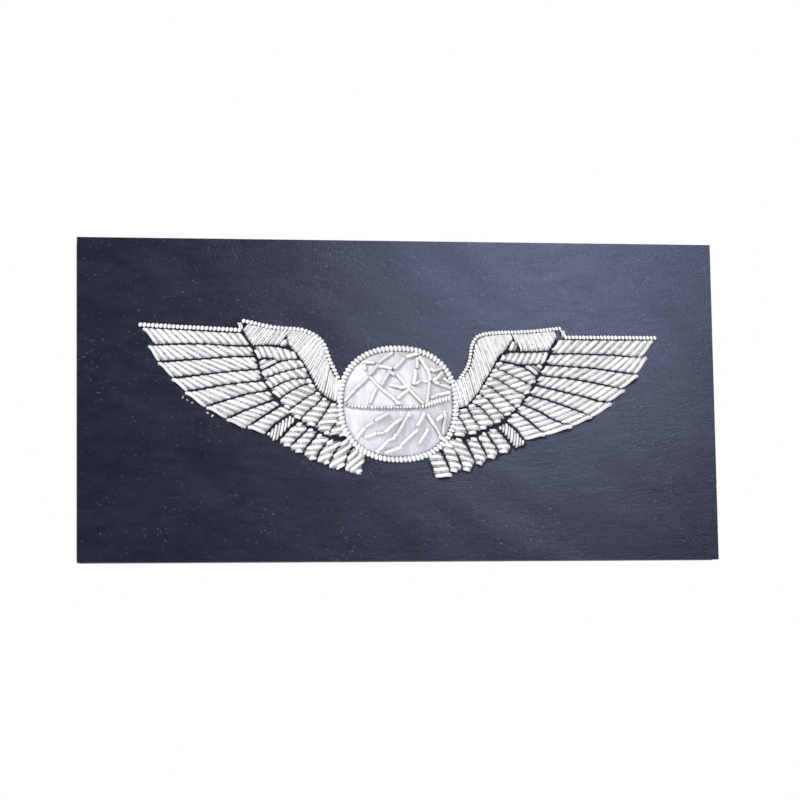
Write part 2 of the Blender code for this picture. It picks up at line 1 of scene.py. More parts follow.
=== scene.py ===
"""The looks of a bullion embroidered pilot wings badge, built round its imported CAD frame.

Metres, +Z up as worn, the embroidered face towards -Y. Lengths named here are in millimetres, and (x, z)
points lie on the leather's face. Strands are swept tubes that arch over their padding, as laid bullion does.
"""

import math
import random

import bpy
import numpy as np
from mathutils import Matrix, Vector


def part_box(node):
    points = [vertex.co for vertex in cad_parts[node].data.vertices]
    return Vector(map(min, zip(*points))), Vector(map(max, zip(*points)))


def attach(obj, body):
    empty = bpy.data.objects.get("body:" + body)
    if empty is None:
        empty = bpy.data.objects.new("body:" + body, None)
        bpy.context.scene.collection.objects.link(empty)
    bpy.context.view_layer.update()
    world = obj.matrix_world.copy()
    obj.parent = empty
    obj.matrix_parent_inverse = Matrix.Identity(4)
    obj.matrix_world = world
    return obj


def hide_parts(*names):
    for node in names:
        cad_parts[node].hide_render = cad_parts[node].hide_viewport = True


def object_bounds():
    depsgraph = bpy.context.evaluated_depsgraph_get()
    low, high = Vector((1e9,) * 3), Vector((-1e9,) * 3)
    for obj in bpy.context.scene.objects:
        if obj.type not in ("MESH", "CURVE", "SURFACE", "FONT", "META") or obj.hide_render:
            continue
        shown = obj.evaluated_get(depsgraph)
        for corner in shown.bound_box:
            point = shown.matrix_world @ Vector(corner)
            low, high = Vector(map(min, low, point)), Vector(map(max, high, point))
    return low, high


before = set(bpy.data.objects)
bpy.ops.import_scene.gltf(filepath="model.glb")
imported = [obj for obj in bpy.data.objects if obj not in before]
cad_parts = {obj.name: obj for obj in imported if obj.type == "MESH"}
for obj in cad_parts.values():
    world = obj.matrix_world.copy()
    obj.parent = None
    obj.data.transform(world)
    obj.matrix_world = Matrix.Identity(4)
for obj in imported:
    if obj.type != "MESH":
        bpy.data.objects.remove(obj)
cad_low, cad_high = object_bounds()

MM = 0.001
OUTWARD = {"left": -1, "right": 1}
LAID_BULLION = ["bright", "rough", "core"]
chance = random.Random(7)
vary = chance.uniform


def millimetres(node):
    """The low and high corners of a CAD node's box."""
    low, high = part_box(node)
    return np.array(low) / MM, np.array(high) / MM


leather_low, leather_high = millimetres("leather_patch")
ring_low, ring_high = millimetres("globe_border_cord")
cloth_low, cloth_high = millimetres("globe_cloth")
FACE_Y = leather_low[1]
CORD_RADIUS = (ring_high[1] - ring_low[1]) / 2
# The globe, as (x, z).
GLOBE_CENTRE = ((ring_low + ring_high) / 2)[[0, 2]]
RING_HALF = ((ring_high - ring_low) / 2)[[0, 2]] - CORD_RADIUS
DOME_HALF = ((cloth_high - cloth_low) / 2)[[0, 2]]
DOME_TOP = FACE_Y - cloth_low[1]

# How the bullion is laid: pairs of a bright and a rough strand over a padded core. The radii are shares of
# the pitch from pair to pair.
BRIGHT_SHARE = 0.35
ROUGH_SHARE = 0.245
SMALL_PITCH = 0.86
FEATHER_RISE = 0.6
COVERT_RISE = 0.72
SLIVER_RISE = 0.45
FEATHER_ROUNDNESS = 0.62
EDGE_DEPTH = 0.22
END_INSET = 0.19
ROUGH_END_INSET = 0.09
ROUGH_SINK = 0.1
TIP_REACH = 0.22
SWING = 0.55
COVERT_SWING = 0.9
END_SKEW = {"primary": 0.75, "secondary": 0.4, "covert": 0.2}
FEATHER_INSET = {"primary": 0.03, "secondary": 0.07, "covert": 0.17}
SHORTEST_STRAND = 0.58
LEAST_RISE = 0.25
RISE_PER_WIDTH = 0.3
ROUGH_WAVER = 0.14
BRIGHT_RIPPLE = 0.025
SKEWED_FROM = 3
CORE_SINK = 0.14
ROUGH_TONE = 0.55
PIT_SHARE = 0.06
PIT_DARKNESS = 0.35
KNOT_EVERY = 5
KNOT_CHANGE = 0.16
TIP_FADE = 2.6
END_FADE = 1.3
SLANT_SAMPLES = 200

# The fine threads of the shoulders and of the striped feathers.
THREAD_RADIUS = 0.19
THREAD_PITCH = 0.36
THREAD_RISE = 0.62
THREAD_ROUNDNESS = 0.38
THREAD_TONE = 0.72
THREAD_CORE_SINK = 0.12
SHORTEST_THREAD = 0.4
GUIDE_OVERRUN = 1.5
STRIPE_PITCH = 0.46
STRIPED = 8
GUIDE_REACH = 3.0

RING_STEP = 0.12
TUBE_SIDES = 10
THIN_SIDES = 8
TURN_PITCH = 0.13
RING_NEAR = 0.8
RING_OVERLAP = 0.1
CORD_REACH = {"feather": 0.42, "shoulder": 0.5}
SHOULDER_GROWTH = 0.08
PRIMARIES = 8
SECONDARIES = 7

# The slant of the laid strands in degrees from +X: along the tip's edge, in the middle and at the inner end,
# for each feather from the longest inwards. The ninth is striped.
FEATHER_SLANTS = {
    "left": [
        (-46, -44, -50), (-56, -29, -50), (-41, -22, -48), (-36, -22, -46), (-33, -19, -42),
        (-26, -16, -38), (-20, -8, -30), (-16, -9, -22), (76, 78, 82), (2, -2, 6),
        (6, 3, 2), (8, 4, 14), (22, 28, 34), (34, 30, 36), (40, 42, 46),
    ],
    "right": [
        (46, 43, 50), (50, 36, 50), (31, 31, 46), (28, 33, 44), (28, 32, 42),
        (19, 21, 34), (14, 13, 26), (10, 7, 16), (84, 86, 88), (-2, -5, -6),
        (-16, -18, -14), (-20, -18, -12), (-18, -20, -22), (-14, -16, -20), (2, -2, -6),
    ],
}
# How far each primary's tip and each secondary's inner end lies from the flat shape's.
END_SHIFTS = {
    "left": [
        (-0.1, 0.0), (-0.15, 0.0), (-0.2, -0.1), (-0.05, -0.2), (-0.15, -0.2), (-0.2, -0.15), (0.0, -0.1),
        (0.0, 0.0), (0.0, 0.0), (0.3, 0.0), (0.3, 0.1), (0.45, 0.0), (0.45, 0.0), (0.45, 0.55), (0.3, 0.4),
    ],
    "right": [
        (0.4, 0.1), (0.45, 0.25), (0.35, 0.1), (0.45, 0.1), (0.4, -0.1), (0.3, 0.0), (0.3, 0.0),
        (0.2, 0.0), (0.0, 0.0), (0.0, 0.0), (0.0, 0.0), (0.0, 0.0), (-0.6, 0.3), (-0.2, 1.0), (0.0, 0.1),
    ],
}
PRIMARY_PITCHES = {
    "left": [0.88, 0.78, 0.74, 0.79, 0.83, 0.84, 0.76, 0.87],
    "right": [0.95, 0.90, 0.90, 0.87, 0.92, 0.87, 0.92, 0.87],
}

# Loose snippets of purl: the middle, half the length and the slant in degrees.
STRAY_PURL = [
    ((-34.45, 0.25), 0.26, 70), ((-33.75, -0.2), 0.24, -40), ((-33.0, -0.6), 0.2, 20),
    ((-30.6, -2.2), 0.22, -30), ((-29.85, -2.65), 0.26, 60), ((-6.75, -11.75), 0.3, 10),
]
STRAY_HALF_WIDTH = 0.15

# The coverts' grooves, from the flight feathers to the shoulder, then each covert's strand slant.
COVERT_GROOVES = {
    "left": [
        [(-23.4, 8.35), (-21.5, 8.45), (-19.4, 8.25), (-17.4, 7.75), (-16.9, 7.3)],
        [
            (-22.7, 6.2), (-21.5, 6.5), (-20.3, 6.4), (-19.4, 6.05), (-18.3, 6.1), (-17.25, 6.3),
            (-15.9, 6.15),
        ],
        [(-21.9, 3.45), (-20.9, 3.5), (-19.75, 4.0), (-18.0, 4.5), (-15.3, 5.15)],
        [(-21.0, 1.8), (-20.4, 1.75), (-18.9, 2.6), (-17.1, 3.2), (-15.3, 3.35), (-14.3, 3.25)],
        [(-19.6, 0.15), (-19.1, 0.25), (-18.0, 1.0), (-16.7, 1.7), (-15.5, 2.3), (-13.9, 2.5)],
        [(-18.1, -1.75), (-16.5, -0.8), (-15.3, 0.1), (-13.9, 0.95), (-13.3, 1.35)],
        [(-16.5, -3.3), (-15.9, -3.0), (-14.9, -1.9), (-13.5, -0.8), (-12.4, 0.5)],
        [(-14.1, -4.4), (-13.7, -4.2), (-12.8, -3.0), (-11.9, -1.7), (-11.2, -0.4)],
        [(-11.9, -5.8), (-11.0, -4.4), (-10.25, -3.1), (-10.3, -1.6), (-10.7, -0.9)],
        [(-9.5, -6.3), (-9.2, -5.3), (-9.6, -4.4), (-9.95, -3.4)],
    ],
    "right": [
        [(23.75, 7.7), (22.0, 7.7), (19.8, 7.65), (17.5, 7.65), (16.5, 7.3)],
        [(22.95, 5.75), (20.2, 5.7), (18.6, 5.65), (17.1, 6.05), (15.4, 6.25)],
        [(21.4, 2.5), (20.0, 2.7), (18.9, 3.4), (17.5, 4.0), (16.1, 4.8), (14.8, 5.15)],
        [(20.2, 0.8), (18.6, 1.3), (17.0, 2.3), (15.5, 3.3), (14.0, 3.8)],
        [(18.5, -1.4), (17.5, -0.6), (16.25, 0.5), (14.8, 1.7), (13.2, 2.6)],
        [(16.8, -2.7), (15.9, -2.1), (14.8, -1.0), (13.75, 0.25), (12.2, 1.0)],
        [(15.0, -3.9), (14.3, -3.1), (13.4, -2.0), (12.5, -1.1), (11.0, -0.5)],
        [(12.8, -4.9), (12.3, -4.0), (11.4, -3.0), (10.8, -1.7), (10.3, -1.2)],
        [(10.7, -5.7), (9.8, -3.7), (9.1, -2.0)],
        [(8.6, -5.9), (8.5, -4.9), (8.8, -3.9), (9.0, -3.0)],
    ],
}
COVERT_SLANTS = {
    "left": [-58, -38, -36, -32, -14, -9, -2, 8, 16],
    "right": [57, 10, 12, 6, 4, 6, -2, 0, -10],
}
SECOND_COVERT_TOP = {
    "left": [(-22.1, 4.45), (-20.9, 5.1), (-19.4, 5.85), (-18.3, 6.1), (-17.25, 6.3), (-15.9, 6.15)],
    "right": [(21.75, 3.75), (20.9, 4.5), (19.6, 5.25), (18.6, 5.45), (17.1, 5.9), (15.4, 6.2)],
}
# The narrow fills beside the first coverts, each with its strands' slant.
SLIVERS = {
    "left": [
        ([(-22.45, 5.95), (-19.9, 6.2), (-19.6, 6.0), (-22.2, 4.65)], 24),
        ([(-18.3, 9.8), (-19.2, 8.55), (-17.8, 8.3)], 50),
    ],
    "right": [
        ([(19.9, 5.45), (22.7, 5.5), (22.6, 4.8), (21.8, 4.05)], -30),
        ([(18.1, 9.5), (17.15, 8.0), (19.1, 7.95)], 60),
    ],
}

# The shoulder: a guide line through its strands, with their slant at each of its points.
SHOULDER_GUIDES = {
    "left": [
        [(-25.4, 10.0, 50), (-22.0, 10.0, 50), (-18.4, 10.2, 52)],
        [
            (-18.2, 10.2, 50), (-15.0, 8.4, 50), (-13.4, 5.0, 62), (-12.2, 2.2, 76), (-10.6, 1.0, 86),
            (-9.8, 0.9, 90),
        ],
    ],
    "right": [
        [(25.2, 9.6, 116), (22.0, 9.4, 116), (18.2, 10.0, 112)],
        [
            (18.0, 9.9, 112), (14.9, 8.6, 112), (13.0, 5.5, 108), (11.4, 2.6, 104), (10.0, 1.6, 104),
            (9.0, 1.5, 104),
        ],
    ],
}
SHOULDER_SPLIT = {"left": -18.35, "right": 18.1}
SPLIT_GAP = 0.04

# The cords' routes, along the top of the first feather and round the shoulder.
LEADING_CORD = {
    "left": [(-41.35, 11.62), (-36.0, 11.35), (-31.0, 11.12), (-25.25, 10.85)],
    "right": [(41.45, 10.1), (36.0, 10.1), (31.0, 10.1), (26.3, 10.08)],
}
SHOULDER_CORD = {
    "left": [
        (-25.2, 12.35), (-24.5, 12.25), (-22.3, 11.75), (-20.6, 11.4), (-18.9, 11.2),
        (-17.1, 11.1), (-15.6, 10.95), (-14.4, 10.52), (-13.2, 9.8), (-12.3, 8.8), (-11.85, 7.7),
        (-11.55, 6.7), (-11.15, 5.7), (-10.6, 4.5), (-10.0, 3.2),
    ],
    "right": [
        (25.9, 11.5), (24.5, 11.4), (22.0, 11.1), (19.3, 10.9), (16.6, 10.8), (14.8, 10.7),
        (13.4, 10.5), (12.3, 10.1), (11.7, 9.4), (11.3, 8.5), (11.1, 7.2), (10.9, 6.1), (10.5, 5.1),
        (9.95, 4.2), (9.3, 3.3),
    ],
}
# Each cord's pitch from bead to bead, and a bead's half length and half width.
CORD_BEADS = {
    "left": {"leading": (0.65, 0.28, 0.385), "shoulder": (0.62, 0.26, 0.37)},
    "right": {"leading": (0.58, 0.235, 0.345), "shoulder": (0.52, 0.205, 0.325)},
}
CORD_LEAN = 20
CORD_HEIGHT = 0.92 * CORD_RADIUS
# The core that shows between beads: its radius as a share of a bead's half width, and its tone.
CORD_CORE = (0.64, 0.5)
STEP_THREADS = {"left": [(-25.6, 12.1), (-25.25, 11.15)], "right": [(26.0, 11.3), (26.3, 10.3)]}
STEP_OFFSETS = (-0.14, 0.2)
STEP_RADIUS = 0.15

RING_BEADS = (0.66, (0.305, 0.52, CORD_RADIUS))
RING_CORE = (0.68, 0.62)
RING_LEAN = 14
RING_HEIGHT = 0.95 * CORD_RADIUS
RING_SPREAD = 0.12
GLOBE_POWER = 2.3
RIM_HEIGHT = 0.4
FELT_GAP = 0.3
CLOTH_GAP = 0.04
CLOTH_FOLDS = 26
FOLDED_FROM = 0.45
WAIST_DROP = 0.42
WAIST_WIDTH = 0.3
WAIST_DEPTH = 0.1
EQUATOR = [
    (-9.1, -0.6), (-8.4, -1.05), (-5.7, -1.4), (-3.0, -1.48), (-0.9, -1.47), (0.9, -1.46), (2.7, -1.33),
    (4.3, -0.95), (5.6, -0.5), (7.6, 0.15),
]
EQUATOR_PITCH = 0.5
EQUATOR_BEAD = np.array([0.215, 0.27, 0.26])
EQUATOR_LIFT = 0.2
EQUATOR_LEAN = math.atan(0.3)
STANDING_FROM = 2.6
STANDING_WITHIN = 1.6
STANDING_HEIGHT = 0.16

# The purl chips sewn on the globe: x and z of one end, then of the other.
CHIPS = [
    (-9.1, -0.3, -7.5, 1.5), (-7.6, 1.5, -5.4, 3.6), (-5.4, 3.7, -3.8, 5.5), (-3.9, 5.6, -1.4, 7.4),
    (-6.3, 5.8, -4.3, 5.7), (-6.0, 5.5, -5.9, 4.5), (-4.0, 5.2, -1.7, 4.7), (-1.5, 4.6, 0.4, 6.5),
    (0.6, 6.6, 2.6, 7.2), (2.4, 6.5, 2.3, 4.8), (2.0, 4.6, 1.6, 2.1), (1.9, 2.2, 2.8, 2.8),
    (2.8, 2.9, 4.0, 2.7), (2.8, 6.7, 4.2, 4.3), (4.0, 4.7, 4.3, 2.8), (4.2, 2.7, 3.6, -0.9),
    (-1.0, 3.8, 0.9, 1.4), (0.9, 1.4, 3.2, -0.9), (-5.2, 3.4, -3.3, 1.3), (-3.3, 1.3, -0.9, -0.8),
    (-2.2, 4.1, -3.5, 2.0), (-4.2, 1.7, -5.3, -0.8), (-2.2, 2.1, -0.6, 1.8), (-0.8, 1.7, 0.3, 1.7),
    (-1.1, -0.1, 0.8, 1.3), (4.4, 4.8, 5.1, 4.4), (5.1, 4.4, 6.4, 5.0), (4.6, 2.9, 5.5, 3.2),
    (5.5, 3.2, 6.5, 4.3), (4.9, 2.7, 5.8, 2.3), (5.8, 2.3, 7.8, 1.8), (4.3, 0.1, 5.7, 0.7),
    (5.6, 0.6, 7.6, 1.1), (6.6, 3.3, 7.7, 2.7), (-2.4, 4.4, -1.4, 3.7), (-1.3, -0.8, -0.6, -0.8),
    (-7.4, -6.3, -6.0, -4.5), (-6.0, -4.5, -4.7, -3.7), (-4.6, -3.6, -2.5, -2.4), (-6.1, -6.1, -4.3, -5.5),
    (-4.3, -5.5, -3.0, -5.4), (-3.0, -5.4, -0.4, -3.2), (-1.6, -6.0, -0.8, -5.5), (-1.0, -5.6, 0.7, -2.5),
    (-4.2, -8.4, -2.6, -6.8), (-2.7, -6.7, -1.3, -6.2), (-2.9, -8.5, -1.5, -8.1), (-1.5, -8.1, -0.3, -7.6),
    (-0.5, -7.5, 1.7, -5.4), (1.7, -5.4, 2.2, -4.9), (2.1, -4.4, 3.3, -2.3), (2.5, -7.1, 4.0, -4.7),
    (3.8, -2.5, 4.9, -4.2), (4.9, -4.2, 6.0, -5.9), (6.3, -5.7, 6.5, -3.9), (6.5, -4.1, 6.8, -2.4),
    (5.2, -3.5, 6.2, -2.7), (6.6, -1.8, 6.7, -2.6), (5.7, -5.8, 6.7, -6.4), (0.7, -2.2, 0.9, -2.9),
]
CHIP_RADIUS = 0.3
CHIP_GAP = 0.06
# How deep a chip's open ends are cut; their middles are painted dark, as shade.
CHIP_HOLLOW = 0.3
CHIP_DIP = 0.08
CHIP_RIPPLE = 0.03
# How much painted shade darkens a chip's sides and back.
CHIP_PAINTED_SHADE = 0.5

PRICKED_MARGIN = 0.3
LEATHER_SWELL = 0.05
LEATHER_GRID = (330, 165)

# Each light's place, width and height in metres, then its watts and colour. All point at the badge.
LIGHTS = {
    "key": ((-0.42, -0.5, 0.42), (0.3, 0.3), 5.9, (1.0, 0.985, 0.985)),
    "sheen": ((0.158, -0.617, 0.2), (0.1, 0.3), 1.8, (0.95, 0.93, 1.0)),
    "fill": ((0.1, -0.6, -0.35), (0.5, 0.3), 1.0, (1.0, 0.99, 0.97)),
    "back_key": ((0.35, 0.5, 0.45), (0.4, 0.3), 7.5, (1.0, 0.99, 0.97)),
    "back_fill": ((-0.45, 0.45, 0.1), (0.4, 0.4), 4.0, (0.95, 0.97, 1.0)),
}
WORLD_LIGHT = 0.13
# The floor's radius, and how far it lies below the badge, in metres.
FLOOR_RADIUS = 0.6
FLOOR_DROP = 0.065
# The camera, solved from the perspective of the patch: its place from the middle of the leather's face, where
# it looks, which way is up, and its lens on a frame of the width given.
CAMERA_PLACE = (-63.51, -409.40, -49.98)
CAMERA_FORWARD = (0.15164, 0.98116, 0.11970)
CAMERA_UP = (-0.00374, -0.12053, 0.99270)
CAMERA_LENS = 119.13
CAMERA_FRAME = 36.0


# ---- materials


class Look:
    """A procedural material: its node tree, with short names for the nodes that the looks are made of."""

    def __init__(self, name):
        self.material = bpy.data.materials.new(name)
        self.material.use_nodes = True
        self.tree = self.material.node_tree
        self.place = self.node("TexCoord").outputs["Object"]

    def fill(self, socket, value):
        """Give a socket a link or a constant."""
        if isinstance(value, bpy.types.NodeSocket):
            self.tree.links.new(value, socket)
        else:
            socket.default_value = value

    def set(self, node, **settings):
        """Fill sockets by name. What isn't a socket is a setting of the node itself."""
        for key, value in settings.items():
            socket = node.inputs.get(key.replace("_", " "))
            if socket is None:
                setattr(node, key, value)
            else:
                self.fill(socket, value)
        return node

    def node(self, kind, **settings):
        return self.set(self.tree.nodes.new("ShaderNode" + kind), **settings)

    def math(self, operation, *values):
        node = self.node("Math", operation=operation)
        for socket, value in zip(node.inputs, values):
            self.fill(socket, value)
        return node.outputs[0]

    def total(self, *terms, plus=0.0):
        """The sum of (value, weight) terms and a constant."""
        for value, weight in terms:
            plus = self.math("MULTIPLY_ADD", value, weight, plus)
        return plus

    def turned(self, degrees, scale):
        """The object's coordinates, turned about Y and scaled."""
        turn = (0.0, math.radians(degrees), 0.0)
        return self.node("Mapping", Vector=self.place, Rotation=turn, Scale=scale).outputs["Vector"]

    def noise(self, scale, detail, roughness=0.55, place=None):
        node = self.node("TexNoise", Scale=scale, Detail=detail, Roughness=roughness)
        self.fill(node.inputs["Vector"], self.place if place is None else place)
        return node.outputs["Fac"]

    def ramp(self, value, *stops):
        """A ramp through (place, colour) stops. A colour can be one grey level."""
        node = self.node("ValToRGB", Fac=value)
        points = node.color_ramp.elements
        while len(points) < len(stops):
            points.new(0.5)
        for point, (place, colour) in zip(points, stops):
            point.position = place
            point.color = (*np.broadcast_to(colour, 3), 1.0)
        return node.outputs["Color"]

    def attribute(self, name):
        return self.node("Attribute", attribute_name=name).outputs["Fac"]

    def finish(self, bump=None, **sockets):
        """The material, with its shader's sockets filled. A bump is (height, strength, distance)."""
        if bump:
            height, strength, distance = bump
            bumped = self.node("Bump", Height=height, Strength=strength, Distance=distance)
            sockets["Normal"] = bumped.outputs["Normal"]
        self.set(self.tree.nodes["Principled BSDF"], **sockets)
        return self.material


def wire_material(name, stops, metallic, roughness, coil, speckle):
    """Purl wire: tone from strand to strand, fine turns along it, and a speckle of crushed facets."""
    look = Look(name)
    grain = look.noise(3200.0, 2.0)
    tone = look.total((look.attribute("tone"), 1.0), (look.math("SUBTRACT", grain, 0.5), speckle))
    turns = look.math("SINE", look.math("MULTIPLY", look.attribute("turns"), 2 * math.pi))
    return look.finish(
        bump=(look.total((turns, coil), (grain, 1.0 - coil)), 0.6, 0.00006),
        Base_Color=look.ramp(tone, *stops),
        Metallic=metallic,
        Roughness=look.total((grain, 0.3), plus=roughness),
    )


def leather_material():
    """Navy leather: pores, creases that run slightly down to the right, and painted glints, light specks
    mixed into the base colour. The colour is darker where the face is lower: partly mottled dye, partly
    painted shade in the creases. It is rougher where its tone is 0, which is where it is pricked."""
    look = Look("navy_leather")
    along = look.turned(-18, (0.35, 1.0, 1.0))
    crease = look.noise(900.0, 4.0, 0.62, along)
    swell = look.noise(170.0, 3.0, 0.5, along)
    cells = look.node("TexVoronoi", feature="DISTANCE_TO_EDGE", Vector=look.place, Scale=1500.0)
    pebble = look.math("MINIMUM", cells.outputs["Distance"], 0.1)
    wrinkle = look.math("SUBTRACT", look.noise(420.0, 2.0, 0.6, along), 0.5)
    wrinkle = look.math("MINIMUM", look.math("ABSOLUTE", wrinkle), 0.02)
    # Dye and painted shade: the colour follows the swell and the creases, darker where the face is lower.
    dye_and_crease_shade = look.total((swell, 0.5), (crease, 0.5))
    dye_and_crease_shade = look.ramp(dye_and_crease_shade, (0.4, (0.0054, 0.0052, 0.0102)), (0.6, (0.0096, 0.0092, 0.0176)))
    # Painted glints: sparse light specks mixed into the base colour.
    painted_glint = look.total((look.noise(2700.0, 0.0), 1.0), (look.noise(150.0, 2.0), 0.3))
    painted_glint = look.ramp(painted_glint, (0.9, 0.0), (1.0, 1.0))
    flecked = look.node("Mix", data_type="RGBA")
    for socket, value in ((0, painted_glint), (6, dye_and_crease_shade), (7, (0.045, 0.048, 0.062, 1.0))):
        look.fill(flecked.inputs[socket], value)
    return look.finish(
        bump=(look.total((pebble, 3.0), (crease, 1.3), (swell, 2.4), (wrinkle, 16.5)), 0.095, 0.00012),
        Base_Color=flecked.outputs[2],
        Roughness=look.total((crease, 0.12), (look.attribute("tone"), -0.8), plus=0.59),
        Specular_IOR_Level=0.29,
        Specular_Tint=(0.62, 0.74, 1.0, 1.0),
    )


def felt_material(name, dark, light):
    """Felt: combed fibres in clumps."""
    look = Look(name)
    fibres = look.noise(2600.0, 5.0, 0.75, look.turned(35, (1.0, 1.0, 0.25)))
    mixed = look.total((fibres, 0.65), (look.noise(300.0, 5.0, 0.7), 0.35))
    shade = look.ramp(mixed, (0.38, dark), (0.62, light))
    return look.finish(bump=(mixed, 0.8, 0.00025), Base_Color=shade, Roughness=0.95, Sheen_Weight=0.1)


def cloth_material():
    """Silver tissue: a fine cross weave of flat metal thread, softly creased, with painted shade that darkens
    its creases and streaks.
    """
    look = Look("silver_tissue")
    wave = {"Vector": look.place, "Scale": 900.0, "Distortion": 0.6}
    weave = [look.node("TexWave", bands_direction=axis, **wave).outputs["Fac"] for axis in "XZ"]
    crease = look.noise(160.0, 5.0, 0.6)
    streaks = look.noise(1500.0, 3.0, 0.6, look.turned(0, (1.0, 1.0, 0.12)))
    # Painted shade: the colour darkens where the creases and streaks lie low.
    shade = look.total((crease, 0.6), (streaks, 0.4))
    height = look.total((look.math("MULTIPLY", *weave), 0.12), (crease, 1.4), (streaks, 1.2))
    return look.finish(
        bump=(height, 0.5, 0.00016),
        Base_Color=look.ramp(shade, (0.34, (0.4, 0.395, 0.43)), (0.6, (0.63, 0.622, 0.67))),
        Metallic=0.12,
        Roughness=0.5,
    )


def nickel_material():
    """Nickel plate: brushed, and cloudy with wear."""
    look = Look("nickel_plate")
    cloud = look.noise(500.0, 4.0)
    return look.finish(
        bump=(look.noise(5200.0, 3.0), 0.12, 0.00003),
        Base_Color=look.ramp(cloud, (0.3, (0.48, 0.46, 0.43)), (0.7, (0.62, 0.6, 0.56))),
        Metallic=1.0,
        Roughness=look.total((cloud, 0.2), plus=0.2),
    )


def make_materials():
    bright = [(0.0, 0.3), (0.5, 0.62), (1.0, 0.92)]
    rough = [(0.0, (0.03, 0.03, 0.032)), (0.35, 0.22), (0.95, 0.7)]
    thread = [(0.0, 0.12), (0.4, 0.45), (1.0, 0.9)]
    chip = [(0.0, 0.02), (0.5, (0.6, 0.6, 0.61)), (1.0, 0.97)]
    bead = [(0.0, 0.3), (0.5, (0.82, 0.82, 0.83)), (1.0, (0.97, 0.97, 0.98))]
    return {
        "bright": wire_material("bright_purl", bright, 0.2, 0.2, 0.7, 0.2),
        "rough": wire_material("rough_purl", rough, 0.3, 0.34, 0.3, 0.8),
        "thread": wire_material("fine_purl", thread, 0.3, 0.24, 0.6, 0.3),
        "chip": wire_material("cut_purl", chip, 0.3, 0.2, 0.7, 0.15),
        "bead": wire_material("pearl_purl", bead, 0.25, 0.16, 0.3, 0.15),
        "core": felt_material("cotton_core", (0.14, 0.14, 0.14), 0.3),
        "leather": leather_material(),
        "cut_edge": felt_material("leather_cut_edge", (0.006, 0.006, 0.01), (0.016, 0.016, 0.024)),
        "backing": felt_material("black_felt", (0.003, 0.003, 0.004), (0.03, 0.03, 0.034)),
        "stiffener": felt_material("buckram", (0.12, 0.115, 0.1), (0.2, 0.19, 0.17)),
        "padding": felt_material("padding_felt", (0.5, 0.5, 0.52), (0.7, 0.7, 0.72)),
        "cloth": cloth_material(),
        "nickel": nickel_material(),
    }


MATERIALS = make_materials()


# ---- lines and outlines


def pointing(angle):
    """The (x, z) direction at an angle from +X."""
    return np.array([math.cos(angle), math.sin(angle)])


def left_of(direction):
    return np.array([-direction[1], direction[0]])


def unit(vectors):
    return vectors / np.linalg.norm(vectors, axis=-1, keepdims=True)


def lengths_along(line):
    """How far along a line each of its points lies."""
    return np.concatenate([[0.0], np.cumsum(np.linalg.norm(np.diff(line, axis=0), axis=1))])


def points_at(line, marks, places):
    """The points of a line at some places, where marks has the place of each point that it is made of."""
    return np.column_stack([np.interp(places, marks, values) for values in line.T])


def raised(places, height):
    """The (x, y, z) points a height in front of the leather's face, over (x, z) places."""
    places = np.asarray(places)
    y = np.broadcast_to(FACE_Y - height, places.shape[:-1])
    return np.stack([places[..., 0], y, places[..., 1]], axis=-1)


def smooth_line(points, spacing):
    """Points about spacing apart on a Catmull-Rom curve through the given ones."""
    points = [np.array(point, float) for point in points]
    ends = [points[0], *points, points[-1]]
    line = []
    for a, b, c, d in zip(ends, ends[1:], ends[2:], ends[3:]):
        steps = max(2, round(np.linalg.norm(c - b) / spacing))
        for t in np.arange(steps) / steps:
            bend = (2 * a - 5 * b + 4 * c - d) * t**2 + (3 * b - a - 3 * c + d) * t**3
            line.append((2 * b + (c - a) * t + bend) / 2)
    return np.array([*line, points[-1]])


def evenly(line, pitch):
    """Points at an even pitch along a line, and the direction there."""
    marks = lengths_along(line)
    count = max(2, round(marks[-1] / pitch))
    places = (np.arange(count) + 0.5) * marks[-1] / count
    direction = points_at(line, marks, places + 0.05) - points_at(line, marks, places - 0.05)
    return points_at(line, marks, places), unit(direction)


def cast(outline, point, angle, least=0.0):
    """The lower and upper end, inside an outline, of the line through point at angle. It is None where the
    line misses or is shorter than least."""
    direction = pointing(angle)
    side = (outline - point) @ left_of(direction)
    along = (outline - point) @ direction
    next_side, next_along = np.roll(side, -1), np.roll(along, -1)
    crossed = (side > 0) != (next_side > 0)
    share = side[crossed] / (side[crossed] - next_side[crossed])
    places = sorted(along[crossed] + share * (next_along[crossed] - along[crossed]))
    if not places:
        return None
    low, high = min(zip(places[::2], places[1::2]), key=lambda span: abs(span[0] + span[1]))
    if high - low < least:
        return None
    return sorted((point + direction * low, point + direction * high), key=lambda end: end[1])


def shortened(start, end, inset_start, inset_end):
    """The stretch from start to end with a little taken off, or added to, each end."""
    forward = unit(end - start)
    return start + forward * inset_start, end - forward * inset_end


def main_axis(outline, toward):
    """The direction in which an outline is longest, on the side that toward points to."""
    spread = outline - outline.mean(axis=0)
    axis = np.linalg.eigh(spread.T @ spread)[1][:, -1]
    return -axis if axis @ toward < 0 else axis


def node_outline(node):
    """The outline of a CAD node's back face, walked edge by edge, as (x, z) points in millimetres."""
    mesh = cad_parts[node].data
    corners = [tuple(np.round(np.array(vertex.co) / MM, 3)) for vertex in mesh.vertices]
    back = max(corner[1] for corner in corners) - 0.01
    edges = {}
    for face in mesh.polygons:
        loop = [corners[index] for index in face.vertices]
        if all(corner[1] > back for corner in loop):
            for here, after in zip(loop, loop[1:] + loop[:1]):
                if not edges.pop((after, here), False):
                    edges[here, after] = True
    step = dict(edges.keys())
    walk = [next(iter(step))]
    while step[walk[-1]] != walk[0]:
        walk.append(step[walk[-1]])
    return np.array(walk)[:, [0, 2]]


